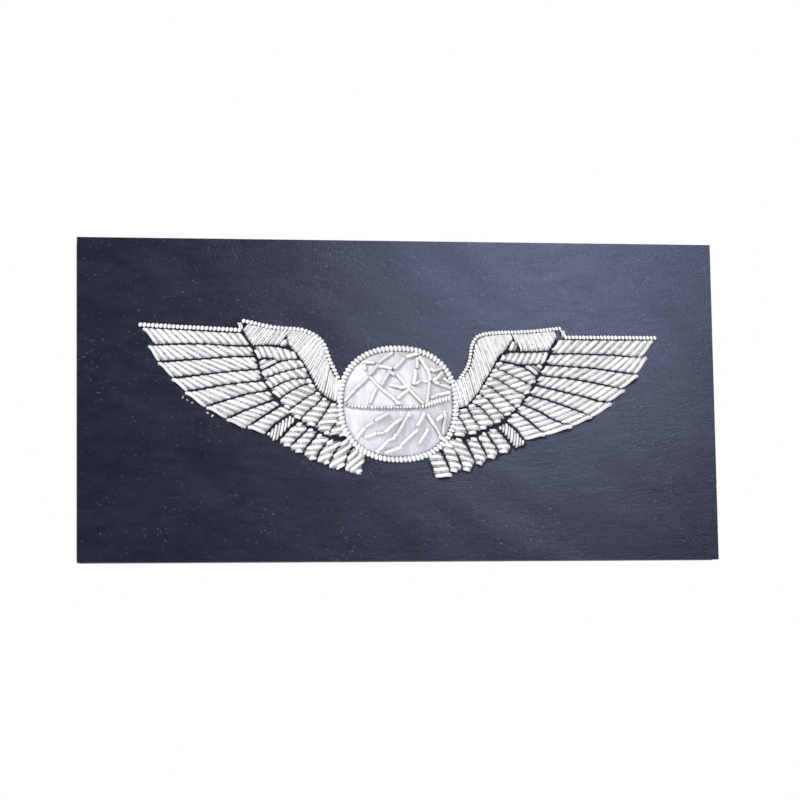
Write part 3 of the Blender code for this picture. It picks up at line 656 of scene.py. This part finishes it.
def inset(outline, width):
    """The outline with each side moved inwards."""
    following = np.roll(outline, -1, axis=0)
    area = np.sum(outline[:, 0] * following[:, 1] - following[:, 0] * outline[:, 1])
    forward = unit(following - outline)
    both = forward + np.roll(forward, 1, axis=0)
    inward = np.column_stack([-both[:, 1], both[:, 0]]) * np.sign(area)
    reach = width / np.maximum(0.35, np.linalg.norm(inward, axis=1) / 2)
    return outline + unit(inward) * reach[:, None]


def with_end_moved(outline, toward, shift):
    """The outline with its end on one side moved, and the rest of that half following less and less."""
    along = (outline - outline.mean(axis=0)) @ main_axis(outline, toward)
    share = np.clip(along / along.max(), 0.0, 1.0) ** 2
    return outline + share[:, None] * np.array(shift)


def globe_reach(offset):
    """1 where an (x, z) offset ends on a globe of half size 1, which is a slightly squared circle."""
    return np.sum(np.abs(offset) ** GLOBE_POWER, axis=-1, keepdims=True) ** (1.0 / GLOBE_POWER)


def on_globe(angle, half):
    """The (x, z) place at an angle from the globe's middle, on an edge with those half sizes."""
    offset = np.stack([np.cos(angle), np.sin(angle)], axis=-1)
    return GLOBE_CENTRE + half * offset / globe_reach(offset)


def up_to_ring(outline):
    """The outline with its points beside the globe's border moved on to it."""
    half = RING_HALF + CORD_RADIUS
    reach = globe_reach((outline - GLOBE_CENTRE) / half)
    touching = GLOBE_CENTRE + (outline - GLOBE_CENTRE) / reach * (1.0 - RING_OVERLAP / half.mean())
    return np.where((reach - 1.0) * half.mean() < RING_NEAR, touching, outline)


def keep_side(outline, x, sign):
    """The part of an outline with sign * (x-coordinate - x) above zero."""
    kept = []
    for here, after in zip(outline, np.roll(outline, -1, axis=0)):
        inside = sign * (here[0] - x) >= 0
        if inside:
            kept.append(here)
        if inside != (sign * (after[0] - x) >= 0):
            share = (x - here[0]) / (after[0] - here[0])
            kept.append(here + share * (after - here))
    return np.array(kept)


def contains(outline, places):
    """Which (x, z) places lie within an outline."""
    x, z = places.T
    found = np.zeros(len(x), bool)
    for here, after in zip(outline, np.roll(outline, -1, axis=0)):
        spanned = (here[1] > z) != (after[1] > z)
        if spanned.any():
            crossing = here[0] + (z - here[1]) / (after[1] - here[1]) * (after[0] - here[0])
            found ^= spanned & (x < crossing)
    return found


# ---- mesh building


class Shape:
    """Points and faces gathered from many small parts into one mesh, in millimetres."""

    def __init__(self):
        self.points, self.faces, self.slots, self.turns, self.tones = [], [], [], [], []
        self.count = 0

    def add(self, points, faces, slot=0, turns=0.0, tone=0.5):
        self.points.append(points)
        self.faces.extend(tuple(self.count + index for index in face) for face in faces)
        self.slots.append(np.broadcast_to(slot, len(faces)))
        self.turns.append(np.broadcast_to(turns, len(points)))
        self.tones.append(np.broadcast_to(tone, len(points)))
        self.count += len(points)

    def finish(self, name, materials, slot, node=None, smooth_angle=None):
        """Make the mesh a piece that rides on root, in place of a CAD node if one is named."""
        mesh = bpy.data.meshes.new(name)
        mesh.from_pydata(np.concatenate(self.points) * MM, [], self.faces)
        for material in materials:
            mesh.materials.append(MATERIALS[material])
        mesh.polygons.foreach_set("material_index", np.concatenate(self.slots).astype(np.int32))
        for label, values in (("turns", self.turns), ("tone", self.tones)):
            stored = mesh.attributes.new(label, "FLOAT", "POINT")
            stored.data.foreach_set("value", np.concatenate(values).astype(np.float32))
        mesh.shade_smooth()
        if smooth_angle is not None:
            mesh.set_sharp_from_angle(angle=math.radians(smooth_angle))
        mesh.validate()
        piece = bpy.data.objects.new(name, mesh)
        bpy.context.scene.collection.objects.link(piece)
        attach(piece, "root")
        if node is not None:
            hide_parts(node)
        return piece


def grid_faces(rows, columns, first=0, closed=False):
    """Four-cornered faces between rows of points. Closed rows are rings."""
    faces = []
    for start in range(first, first + (rows - 1) * columns, columns):
        for column in range(columns if closed else columns - 1):
            after = (column + 1) % columns
            faces.append((start + column, start + after, start + columns + after, start + columns + column))
    return faces


def tube_faces(rings, sides):
    """The faces of a capped tube: the points of its two ends come first, then ring by ring."""
    first, last = 2, 2 + (rings - 1) * sides
    faces = grid_faces(rings, sides, first, closed=True)
    faces += [(0, first + (side + 1) % sides, first + side) for side in range(sides)]
    return faces + [(1, last + side, last + (side + 1) % sides) for side in range(sides)]


def sweep(shape, path, radii, slot=0, tone=0.5, sides=TUBE_SIDES, hollow=0.0, skew=0.0, painted_shade=0.0):
    """Sweep a circle along a path. Hollow is how deep the ends are cut; the middle of each cut end is painted
    dark, as shade. Skew is how far each ring leans along the path, as a share of its width. Painted_shade
    darkens the tube's sides and back, those turned away from the front, as painted shade."""
    radii = np.broadcast_to(radii, len(path))
    tangent = unit(np.gradient(path, axis=0))
    chord = path[-1] - path[0]
    flat = unit(tangent * (1.0, 0.0, 1.0) + 1e-4 * chord / max(1e-6, np.linalg.norm(chord)))
    sideways = np.cross(flat, (0.0, 1.0, 0.0))
    inwards = np.cross(sideways, tangent)
    sideways = sideways + flat * np.broadcast_to(skew, len(path))[:, None]
    angles = np.arange(sides) * 2 * math.pi / sides
    around = np.cos(angles)[:, None] * sideways[:, None] + np.sin(angles)[:, None] * inwards[:, None]
    rings = path[:, None] + radii[:, None, None] * around
    caps = [path[0] + tangent[0] * hollow, path[-1] - tangent[-1] * hollow]
    turns = np.concatenate([[0.0, 0.0], np.repeat(lengths_along(path) / TURN_PITCH, sides)])
    tones = np.broadcast_to(tone, len(path))
    # Painted shade: the middle of a hollow end is dark.
    cap_tones = [0.0, 0.0] if hollow else [tones[0], tones[-1]]
    # Painted shade: the tube's sides and back are darkened, most on the side towards the surface it lies on.
    unshaded_share = 1.0 - painted_shade * np.clip(1.0 + 2.0 * np.sin(angles), 0.0, 1.0)
    tones = np.concatenate([cap_tones, np.outer(tones, unshaded_share).ravel()])
    points = np.concatenate([caps, rings.reshape(-1, 3)])
    shape.add(points, tube_faces(len(path), sides), slot, turns, tones)


def add_bead(shape, centre, angle, sizes, tone, segments=14, rings=8):
    """An oval bead. Its half sizes are along the angle from +X, across that, and towards the viewer."""
    polar = np.repeat(np.arange(1, rings) * math.pi / rings, segments)
    around = np.tile(np.arange(segments) * 2 * math.pi / segments, rings - 1)
    ball = np.column_stack([np.cos(polar), np.sin(polar) * np.cos(around), np.sin(polar) * np.sin(around)])
    along, across, outward = (np.concatenate([[(1, 0, 0), (-1, 0, 0)], ball]) * sizes).T
    x, z = np.outer(pointing(angle), along) + np.outer(left_of(pointing(angle)), across)
    shape.add(centre + np.column_stack([x, -outward, z]), tube_faces(rings - 1, segments), tone=tone)


def add_core(shape, paths, sink, slot):
    """The padding that shows as a dim floor between the strands."""
    columns = 9
    rows = [points_at(path, np.arange(len(path)), np.linspace(0, len(path) - 1, columns)) for path in paths]
    if len(rows) > 1:
        shape.add(np.concatenate(rows) + (0.0, sink, 0.0), grid_faces(len(rows), columns), slot)


# ---- embroidery


def steepening(swing):
    """How much steeper a strand runs in its middle than its chord does."""
    return 1.0 + swing * (math.pi / 2 - 1.0)


def chord_angle(slant, axis, swing):
    """The slant of a strand's chord, given the slant of its steepest stretch, in the middle."""
    middle = pointing(slant)
    along = axis * (middle @ axis)
    chord = along * steepening(swing) + (middle - along)
    return math.atan(chord[1] / chord[0])


def arch(start, end, axis, rise, roundness, swing=SWING):
    """A strand's path from one stitch hole over the padding to the other. Seen from the front it is an S,
    because a round padding turns the slant into a helix."""
    along = axis * ((end - start) @ axis)
    across = end - start - along
    length = np.linalg.norm(end - start) + 1.2 * rise
    share = np.linspace(0.0, 1.0, max(8, int(length / RING_STEP)) + 1)
    crossing = share + swing * ((1.0 - np.cos(math.pi * share)) / 2 - share)
    place = start + along * share[:, None] + across * crossing[:, None]
    lift = np.sin(math.pi * share) ** roundness
    return raised(place, (rise + EDGE_DEPTH) * lift - EDGE_DEPTH)


def edge_line(outline, slant, axis, far, step_in):
    """The middle of the chord at a slant that lies just inside one end of an outline."""
    across = left_of(pointing(slant))
    if across @ axis < 0:
        across = -across
    reach = outline @ across
    limit = reach.max() - step_in if far else reach.min() + step_in
    middle = outline.mean(axis=0)
    start, end = cast(outline, middle + across * (limit - middle @ across), slant)
    return (start + end) / 2


def strand_lines(outline, slants, outward, axis, pitch, swing):
    """(point, slant) of each strand from tip to inner end: an odd number, bright ones first and last."""
    tip, main, end = slants
    first = edge_line(outline, tip, axis, outward > 0, BRIGHT_SHARE * pitch)
    last = edge_line(outline, end, axis, outward < 0, BRIGHT_SHARE * pitch)
    length = np.linalg.norm(last - first)
    line = (last - first) / length
    share = np.linspace(0.0, 1.0, SLANT_SAMPLES)
    slant = main + (tip - main) * np.exp(-share * length / TIP_FADE)
    slant += (end - main) * np.exp(-(1.0 - share) * length / END_FADE)
    tilt = slant - math.atan2(line[1], line[0])
    across = np.sin(tilt) * steepening(swing)
    spread = np.abs(across) / np.hypot(np.cos(tilt), across)
    strands = np.concatenate([[0.0], np.cumsum((spread[1:] + spread[:-1]) / 2)]) * share[1] * length / pitch
    pairs = max(1, round(strands[-1]))
    places = np.interp(np.linspace(0.0, strands[-1], 2 * pairs + 1), strands, share)
    return [(first + line * length * place, np.interp(place, share, slant)) for place in places]


def crushed_tones(count, level):
    """Tones along a rough strand: a slow change with a few dark pits where the wire is crushed."""
    knots = [vary(-KNOT_CHANGE, KNOT_CHANGE) for _ in range(count // KNOT_EVERY + 2)]
    tones = level + np.interp(np.arange(count) / KNOT_EVERY, np.arange(len(knots)), knots)
    pits = np.array([chance.random() < PIT_SHARE for _ in range(count)])
    return np.where(pits, tones * PIT_DARKNESS, tones)


def rippled(count, depth):
    """Shares of a radius along a coiled wire, higher and lower in turn."""
    return 1.0 + depth * np.cos(np.arange(count) * math.pi)


def end_skew(path, axis):
    """How far each ring along a strand leans to lie along an axis, so that the ends follow the padding."""
    flat = unit(np.gradient(path[:, [0, 2]], axis=0))
    square = flat[:, 0] * axis[1] - flat[:, 1] * axis[0]
    return np.clip(flat @ axis * square / (square**2 + 0.02), -1.0, 1.0)


def lay_feather(
    shape, outline, degrees, outward, pitch=SMALL_PITCH, rise=FEATHER_RISE, reach=0.0, swing=SWING, skew=0.0
):
    """Fill an outline with arched strands, bright and rough in turn, over a core. Their upper ends reach on.
    Outward is the side of the tip, 1 for +X."""
    axis = main_axis(outline, (1.0, 0.0))
    tip, main, end = (math.radians(slant) for slant in degrees)
    slants = (tip, chord_angle(main, axis, swing), end)
    paths = []
    for index, (point, slant) in enumerate(strand_lines(outline, slants, outward, axis, pitch, swing)):
        rough = index % 2 == 1
        span = cast(outline, point, slant + math.radians(vary(-1.3, 1.3)), SHORTEST_STRAND)
        if span is None:
            continue
        tip_reach = TIP_REACH * max(0.0, 1.0 - index / 2)
        end_inset = ROUGH_END_INSET if rough else END_INSET
        span = shortened(*span, end_inset, end_inset - max(reach, tip_reach))
        width = np.linalg.norm(span[1] - span[0])
        height = min(rise, LEAST_RISE + RISE_PER_WIDTH * width) * vary(0.94, 1.06)
        path = arch(*span, axis, height - (ROUGH_SINK if rough else 0.0), FEATHER_ROUNDNESS, swing)
        radius = (ROUGH_SHARE if rough else BRIGHT_SHARE) * pitch * vary(0.95, 1.05)
        if rough:
            radii = radius * (1.0 + ROUGH_WAVER * np.array([vary(-1, 1) for _ in path]))
            tone = crushed_tones(len(path), ROUGH_TONE)
        else:
            radii = radius * rippled(len(path), BRIGHT_RIPPLE)
            tone = vary(0.6, 1.0)
        lean = end_skew(path, axis) * skew * min(1.0, index / SKEWED_FROM)
        sweep(shape, path, radii, slot=int(rough), tone=tone, skew=lean)
        paths.append(path)
    add_core(shape, paths, CORE_SINK, slot=2)


def lay_threads(shape, outline, guide, reach=0.0, pitch=THREAD_PITCH):
    """Fill an outline with fine parallel threads whose slant follows a guide line."""
    line = np.array(guide, float)
    marks = lengths_along(line[:, :2])
    place = -GUIDE_OVERRUN
    paths = []
    while place < marks[-1] + GUIDE_OVERRUN:
        inside = min(max(place, 0.0), marks[-1])
        behind, here, ahead = points_at(line, marks, inside + np.array([-0.1, 0.0, 0.1]))
        forward = unit((ahead - behind)[:2])
        slant = math.radians(here[2])
        point = here[:2] + forward * (place - inside)
        span = cast(outline, point, slant + math.radians(vary(-1.5, 1.5)), SHORTEST_THREAD)
        if span is not None:
            span = shortened(*span, END_INSET, END_INSET - reach)
            rise = THREAD_RISE * vary(0.92, 1.05)
            path = arch(*span, left_of(pointing(slant)), rise, THREAD_ROUNDNESS)
            if len(paths) % 2 == 0:
                tone = vary(0.75, 1.0)
                girth = THREAD_RADIUS * vary(0.98, 1.1)
            else:
                tone = crushed_tones(len(path), THREAD_TONE)
                girth = THREAD_RADIUS * vary(0.82, 0.92)
            sweep(shape, path, girth, tone=tone, sides=THIN_SIDES)
            paths.append(path)
        place += pitch / max(0.35, abs(forward @ left_of(pointing(slant))))
    add_core(shape, paths, THREAD_CORE_SINK, slot=1)


def feather_nodes(side):
    """The CAD nodes of a wing's feathers, from the longest inwards."""
    primaries = [f"primary_{side}_{number + 1}" for number in range(PRIMARIES)]
    return primaries + [f"secondary_{side}_{number + 1}" for number in range(SECONDARIES)]


def make_feathers(side):
    for index, node in enumerate(feather_nodes(side)):
        kind = node.split("_")[0]
        toward = (OUTWARD[side], -0.3) if kind == "primary" else (0.0, 1.0)
        outline = inset(node_outline(node), FEATHER_INSET[kind])
        outline = up_to_ring(with_end_moved(outline, toward, END_SHIFTS[side][index]))
        slants = FEATHER_SLANTS[side][index]
        shape = Shape()
        if index == STRIPED:
            x, z = outline.mean(axis=0)
            guide = [(x - GUIDE_REACH, z, slants[1]), (x + GUIDE_REACH, z, slants[1])]
            lay_threads(shape, outline, guide, pitch=STRIPE_PITCH)
            shape.finish(node + "_strands", ["thread", "core"], "bullion", node)
        else:
            reach = CORD_REACH["feather"] if index == 0 else 0.0
            pitch = PRIMARY_PITCHES[side][index] if index < PRIMARIES else SMALL_PITCH
            lay_feather(shape, outline, slants, OUTWARD[side], pitch, reach=reach, skew=END_SKEW[kind])
            shape.finish(node + "_strands", LAID_BULLION, "bullion", node)


def make_stray_purl():
    """Snippets of purl caught under the left tips and below the wing's inner end."""
    shape = Shape()
    for place, half_length, slant in STRAY_PURL:
        half_width = STRAY_HALF_WIDTH * vary(0.85, 1.1)
        sizes = (half_length, half_width, half_width)
        centre = raised(place, 0.8 * half_width)
        add_bead(shape, centre, math.radians(slant), sizes, vary(0.4, 0.8))
    shape.finish("stray_purl", ["rough"], "bullion")


def make_coverts(side):
    grooves = COVERT_GROOVES[side]
    shape = Shape()
    for index, slant in enumerate(COVERT_SLANTS[side]):
        upper = SECOND_COVERT_TOP[side] if index == 1 else grooves[index]
        outline = np.array(upper + grooves[index + 1][::-1], float)
        outline = up_to_ring(inset(outline, FEATHER_INSET["covert"]))
        laid = {"rise": COVERT_RISE, "swing": COVERT_SWING, "skew": END_SKEW["covert"]}
        lay_feather(shape, outline, (slant,) * 3, OUTWARD[side], **laid)
    for outline, slant in SLIVERS[side]:
        lay_feather(shape, np.array(outline, float), (slant,) * 3, OUTWARD[side], rise=SLIVER_RISE)
    node = "coverts_" + side
    shape.finish(node + "_strands", LAID_BULLION, "bullion", node)


def make_shoulder(side):
    node = "shoulder_" + side
    outline = up_to_ring(inset(node_outline(node), -SHOULDER_GROWTH))
    shape = Shape()
    for guide, sign in zip(SHOULDER_GUIDES[side], (OUTWARD[side], -OUTWARD[side])):
        half = keep_side(outline, SHOULDER_SPLIT[side] + SPLIT_GAP * sign, sign)
        lay_threads(shape, half, guide, CORD_REACH["shoulder"])
    shape.finish(node + "_threads", ["thread", "core"], "bullion", node)


# ---- beaded cords


def make_cord(name, node, line, pitch, sizes, lean, core):
    """Pearl purl along a line of (x, y, z) points: leaning oval beads on a thin core."""
    shape = Shape()
    for centre, direction in zip(*evenly(line, pitch)):
        angle = math.atan2(direction[2], direction[0]) + math.radians(lean + vary(-4.0, 4.0))
        size = np.array(sizes) * vary(0.94, 1.05)
        add_bead(shape, centre, angle, size, vary(0.6, 1.0))
    sweep(shape, line[::2], sizes[1] * core[0], slot=1, tone=core[1], sides=THIN_SIDES)
    shape.finish(name, ["bead", "rough"], "cord", node)


def make_cords(side):
    """A wing's two cords, and the threads where one steps up to the other."""
    for part, route in (("leading", LEADING_CORD), ("shoulder", SHOULDER_CORD)):
        pitch, half_length, half_width = CORD_BEADS[side][part]
        line = raised(smooth_line(route[side], 0.3), CORD_HEIGHT)
        node = f"{part}_cord_{side}"
        sizes = (half_length, half_width, CORD_RADIUS)
        make_cord(node + "_beads", node, line, pitch, sizes, CORD_LEAN * OUTWARD[side], CORD_CORE)
    shape = Shape()
    for offset in STEP_OFFSETS:
        top, foot = np.array(STEP_THREADS[side]) + (offset, -0.1)
        path = arch(top, foot, np.array([1.0, 0.0]), 0.5, 0.5)
        sweep(shape, path, STEP_RADIUS, tone=0.8)
    shape.finish(f"cord_step_{side}", ["thread"], "bullion")


# ---- the globe


def dome_height(places):
    """How far the globe's cloth stands off the leather at (x, z) places."""
    reach = globe_reach((places - GLOBE_CENTRE) / DOME_HALF)[..., 0]
    return RIM_HEIGHT + (DOME_TOP - RIM_HEIGHT) * np.maximum(0.0, 1.0 - reach**2) ** 0.75


def dome_grid(rings, steps):
    """The angle, reach and (x, z) place of rings of points from the globe's middle to just past its rim."""
    angle, ring = np.meshgrid(np.arange(steps) * 2 * math.pi / steps, np.arange(1, rings + 1))
    reach = (ring / rings) ** 0.8 * 1.02
    return angle, reach, on_globe(angle, DOME_HALF * reach[..., None])


def add_dome(shape, places, height):
    rings, steps = height.shape
    middle = tuple(range(steps))[::-1]
    shape.add(raised(places, height).reshape(-1, 3), [*grid_faces(rings, steps, closed=True), middle])


def random_waves(count, low, high):
    """Slow waves over the face, each as how fast it changes along X and along Z, and its phase."""
    return [[vary(*ends) for ends in ((low, high), (low, high), (0, 6.3))] for _ in range(count)]


def waviness(waves, places):
    return sum(np.sin(places @ (a, b) + phase) for a, b, phase in waves) / len(waves)


def make_globe_padding():
    """The felt dome that gives the globe its swell."""
    shape = Shape()
    lumps = random_waves(6, 0.4, 1.1)
    _, reach, places = dome_grid(24, 96)
    height = dome_height(places) - FELT_GAP + 0.05 * waviness(lumps, places)
    add_dome(shape, places, np.where(reach < 1.0, height, 0.0))
    piece = shape.finish("globe_felt_dome", ["padding"], "padding", "globe_padding")


def make_globe_cloth():
    """The tissue, drawn over the felt dome, puckered where it is sewn down and pulled in along the waist."""
    shape = Shape()
    spans = ((0, 2 * math.pi), (0.02, 0.05), (0.02, 0.05))
    folds = [[vary(*span) for span in spans] for _ in range(CLOTH_FOLDS)]
    angle, reach, places = dome_grid(72, 160)
    x, z = places[..., 0], places[..., 1]
    waist = np.exp(-(((z - equator_z(x) + WAIST_DROP) / WAIST_WIDTH) ** 2))
    height = dome_height(places) - CLOTH_GAP - WAIST_DEPTH * waist
    for place, width, depth in folds:
        gap = np.arctan2(np.sin(angle - place), np.cos(angle - place))
        height += depth * np.exp(-((gap / width) ** 2)) * np.maximum(0.0, reach - FOLDED_FROM) ** 1.5
    add_dome(shape, places, np.where(reach < 1.0, height, 0.12))
    piece = shape.finish("globe_tissue", ["cloth"], "cloth", "globe_cloth")


def equator_z(x):
    """The height of the globe's waist line at x."""
    return np.interp(x, *np.array(EQUATOR).T)


def make_chips():
    """Cut lengths of purl, bent to the globe, with their open ends dipping to the cloth. Their open ends and
    the sides and backs of the chips carry painted shade.
    """
    shape = Shape()
    for index, ends in enumerate(np.array(CHIPS)):
        start, end = shortened(ends[:2], ends[2:], CHIP_GAP, CHIP_GAP)
        bow = left_of(end - start) * vary(-0.03, 0.03)
        steps = max(6, int(np.linalg.norm(end - start) / RING_STEP))
        share = np.linspace(0.0, 1.0, steps + 1)
        places = start + np.outer(share, end - start) + np.outer(np.sin(math.pi * share), bow)
        lift = CHIP_RADIUS * (0.6 + 0.5 * (index % 3)) - CHIP_DIP * np.abs(2 * share - 1) ** 6
        radii = CHIP_RADIUS * vary(0.85, 1.15) * rippled(steps + 1, CHIP_RIPPLE)
        path = raised(places, dome_height(places) + lift)
        # Painted shade in the open ends and on the sides and backs.
        sweep(shape, path, radii, tone=vary(0.6, 1.0), hollow=CHIP_HOLLOW, painted_shade=CHIP_PAINTED_SHADE)
    shape.finish("globe_purl_chips", ["chip"], "bullion")


def make_equator():
    """The waist of the globe: small upright beads to the left, longer standing ones at the right end."""
    shape = Shape()
    line = smooth_line(EQUATOR, 0.2)
    for place, direction in zip(*evenly(line, EQUATOR_PITCH)):
        extra = STANDING_HEIGHT * min(1.0, max(0.0, (place[0] - STANDING_FROM) / STANDING_WITHIN))
        angle = math.atan2(direction[1], direction[0]) - EQUATOR_LEAN
        sizes = (EQUATOR_BEAD + (0.0, extra, 0.0)) * vary(0.92, 1.06)
        tone = vary(0.1, 0.55) if place[0] < STANDING_FROM else vary(0.6, 1.0)
        centre = raised(place + (0.0, extra), dome_height(place) + EQUATOR_LIFT)
        add_bead(shape, centre, angle, sizes, tone)
    # Painted shade: a thin grey thread laid on the cloth just below the beads stands for the dark line of
    # shade under them.
    thread = raised(line - (0.0, 0.3), dome_height(line) + 0.02)[::2]
    sweep(shape, thread, 0.1, slot=1, tone=0.62, sides=THIN_SIDES)
    shape.finish("globe_equator_beads", ["bead", "rough"], "cord", "globe_equator_cord")


def make_globe():
    make_globe_padding()
    make_globe_cloth()
    make_chips()
    places = on_globe(np.linspace(0.0, 2 * math.pi, 181), RING_HALF + (RING_SPREAD, 0.0))
    ring = raised(places, RING_HEIGHT)
    make_cord("globe_border_beads", "globe_border_cord", ring, *RING_BEADS, RING_LEAN, RING_CORE)
    make_equator()


# ---- leather, felt and findings


def pricked_tones(places):
    """0 where the leather is dulled by the needle, under and between the feathers, and 0.5 elsewhere."""
    pricked = np.zeros(len(places), bool)
    for side in OUTWARD:
        outlines = [node_outline(node) for node in (*feather_nodes(side), "shoulder_" + side)]
        grooves = COVERT_GROOVES[side]
        outlines += [np.array(upper + lower[::-1], float) for upper, lower in zip(grooves, grooves[1:])]
        for outline in outlines:
            pricked |= contains(inset(outline, -PRICKED_MARGIN), places)
    return np.where(pricked, 0.0, 0.5)


def make_leather():
    """A flat panel with a slightly uneven face, cut edges and a flat back."""
    wobble = random_waves(7, 0.15, 0.9)
    columns, rows = (count + 1 for count in LEATHER_GRID)
    across = np.linspace(leather_low[0], leather_high[0], columns)
    upwards = np.linspace(leather_low[2], leather_high[2], rows)
    places = np.stack(np.meshgrid(across, upwards), axis=-1).reshape(-1, 2)
    face = raised(places, -LEATHER_SWELL * (0.5 + 0.5 * waviness(wobble, places)))
    index = np.arange(len(face)).reshape(rows, columns)
    rim = [*index[0], *index[1:, -1], *index[-1, -2::-1], *index[-2:0:-1, 0]]
    back = np.array(face[rim])
    back[:, 1] = leather_high[1]
    under = range(len(face), len(face) + len(rim))
    seen = grid_faces(rows, columns)
    hidden = [*zip(rim, under, [*under[1:], under[0]], rim[1:] + rim[:1]), tuple(under)]
    slots = [0] * len(seen) + [1] * len(hidden)
    points = np.concatenate([face, back])
    shape = Shape()
    shape.add(points, seen + hidden, slots, tone=pricked_tones(points[:, [0, 2]]))
    shape.finish("leather_face", ["leather", "cut_edge"], "leather", "leather_patch", smooth_angle=50)


def dress(node, material):
    """Give a CAD node a material in place of its own."""
    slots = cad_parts[node].data.materials
    slots.clear()
    slots.append(MATERIALS[material])


def dress_back():
    dress("backing_felt", "backing")
    dress("stiffener_sheet", "stiffener")
    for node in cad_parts:
        if node.startswith(("post", "clutch")):
            dress(node, "nickel")


# ---- stage


def make_stage():
    """A pale round floor, well below the badge."""
    mesh = bpy.data.meshes.new("floor")
    angles = np.radians(range(0, 360, 4))
    rim = [(*FLOOR_RADIUS * pointing(angle), cad_low.z - FLOOR_DROP) for angle in angles]
    mesh.from_pydata(rim, [], [tuple(range(len(rim)))])
    mesh.materials.append(Look("pale_floor").finish(Base_Color=(0.86, 0.86, 0.87, 1.0), Roughness=0.9))
    floor = bpy.data.objects.new("floor", mesh)
    bpy.context.scene.collection.objects.link(floor)


def make_lights():
    for name, (place, size, power, colour) in LIGHTS.items():
        light = bpy.data.lights.new(name, "AREA")
        light.shape = "RECTANGLE"
        light.size, light.size_y = size
        light.energy = power
        light.color = colour
        lamp = bpy.data.objects.new(name, light)
        lamp.location = place
        lamp.rotation_mode = "QUATERNION"
        lamp.rotation_quaternion = (-Vector(place)).to_track_quat("-Z", "Y")
        bpy.context.scene.collection.objects.link(lamp)


def make_world():
    """A dim white light from all round, and plain white behind the object."""
    world = bpy.data.worlds.new("studio")
    world.use_nodes = True
    nodes, links = world.node_tree.nodes, world.node_tree.links
    mix = nodes.new("ShaderNodeMixShader")
    links.new(nodes.new("ShaderNodeLightPath").outputs["Is Camera Ray"], mix.inputs[0])
    lit, seen = nodes["Background"], nodes.new("ShaderNodeBackground")
    for background, strength, socket in ((lit, WORLD_LIGHT, mix.inputs[1]), (seen, 1.0, mix.inputs[2])):
        background.inputs["Color"].default_value = (1.0, 1.0, 1.0, 1.0)
        background.inputs["Strength"].default_value = strength
        links.new(background.outputs[0], socket)
    links.new(mix.outputs[0], nodes["World Output"].inputs["Surface"])
    bpy.context.scene.world = world


def make_camera():
    """A long lens, a little below and to the left, looking up at the embroidered face."""
    camera = bpy.data.objects.new("camera", bpy.data.cameras.new("camera"))
    camera.data.sensor_width = CAMERA_FRAME
    camera.data.lens = CAMERA_LENS
    camera.data.clip_start = 0.01
    camera.data.clip_end = 10.0
    forward = Vector(CAMERA_FORWARD).normalized()
    right = forward.cross(Vector(CAMERA_UP)).normalized()
    camera.rotation_mode = "QUATERNION"
    camera.rotation_quaternion = Matrix((right, right.cross(forward), -forward)).transposed().to_quaternion()
    x, y, z = CAMERA_PLACE
    camera.location = Vector((x, y + FACE_Y, z)) * MM
    bpy.context.scene.collection.objects.link(camera)
    bpy.context.scene.camera = camera


def main():
    make_camera()
    make_lights()
    make_world()
    make_stage()
    bpy.context.scene.view_settings.view_transform = "Standard"
    make_leather()
    dress_back()
    for side in OUTWARD:
        make_feathers(side)
        make_coverts(side)
        make_shoulder(side)
    for side in OUTWARD:
        make_cords(side)
    make_stray_purl()
    make_globe()


main()
bpy.context.view_layer.update()
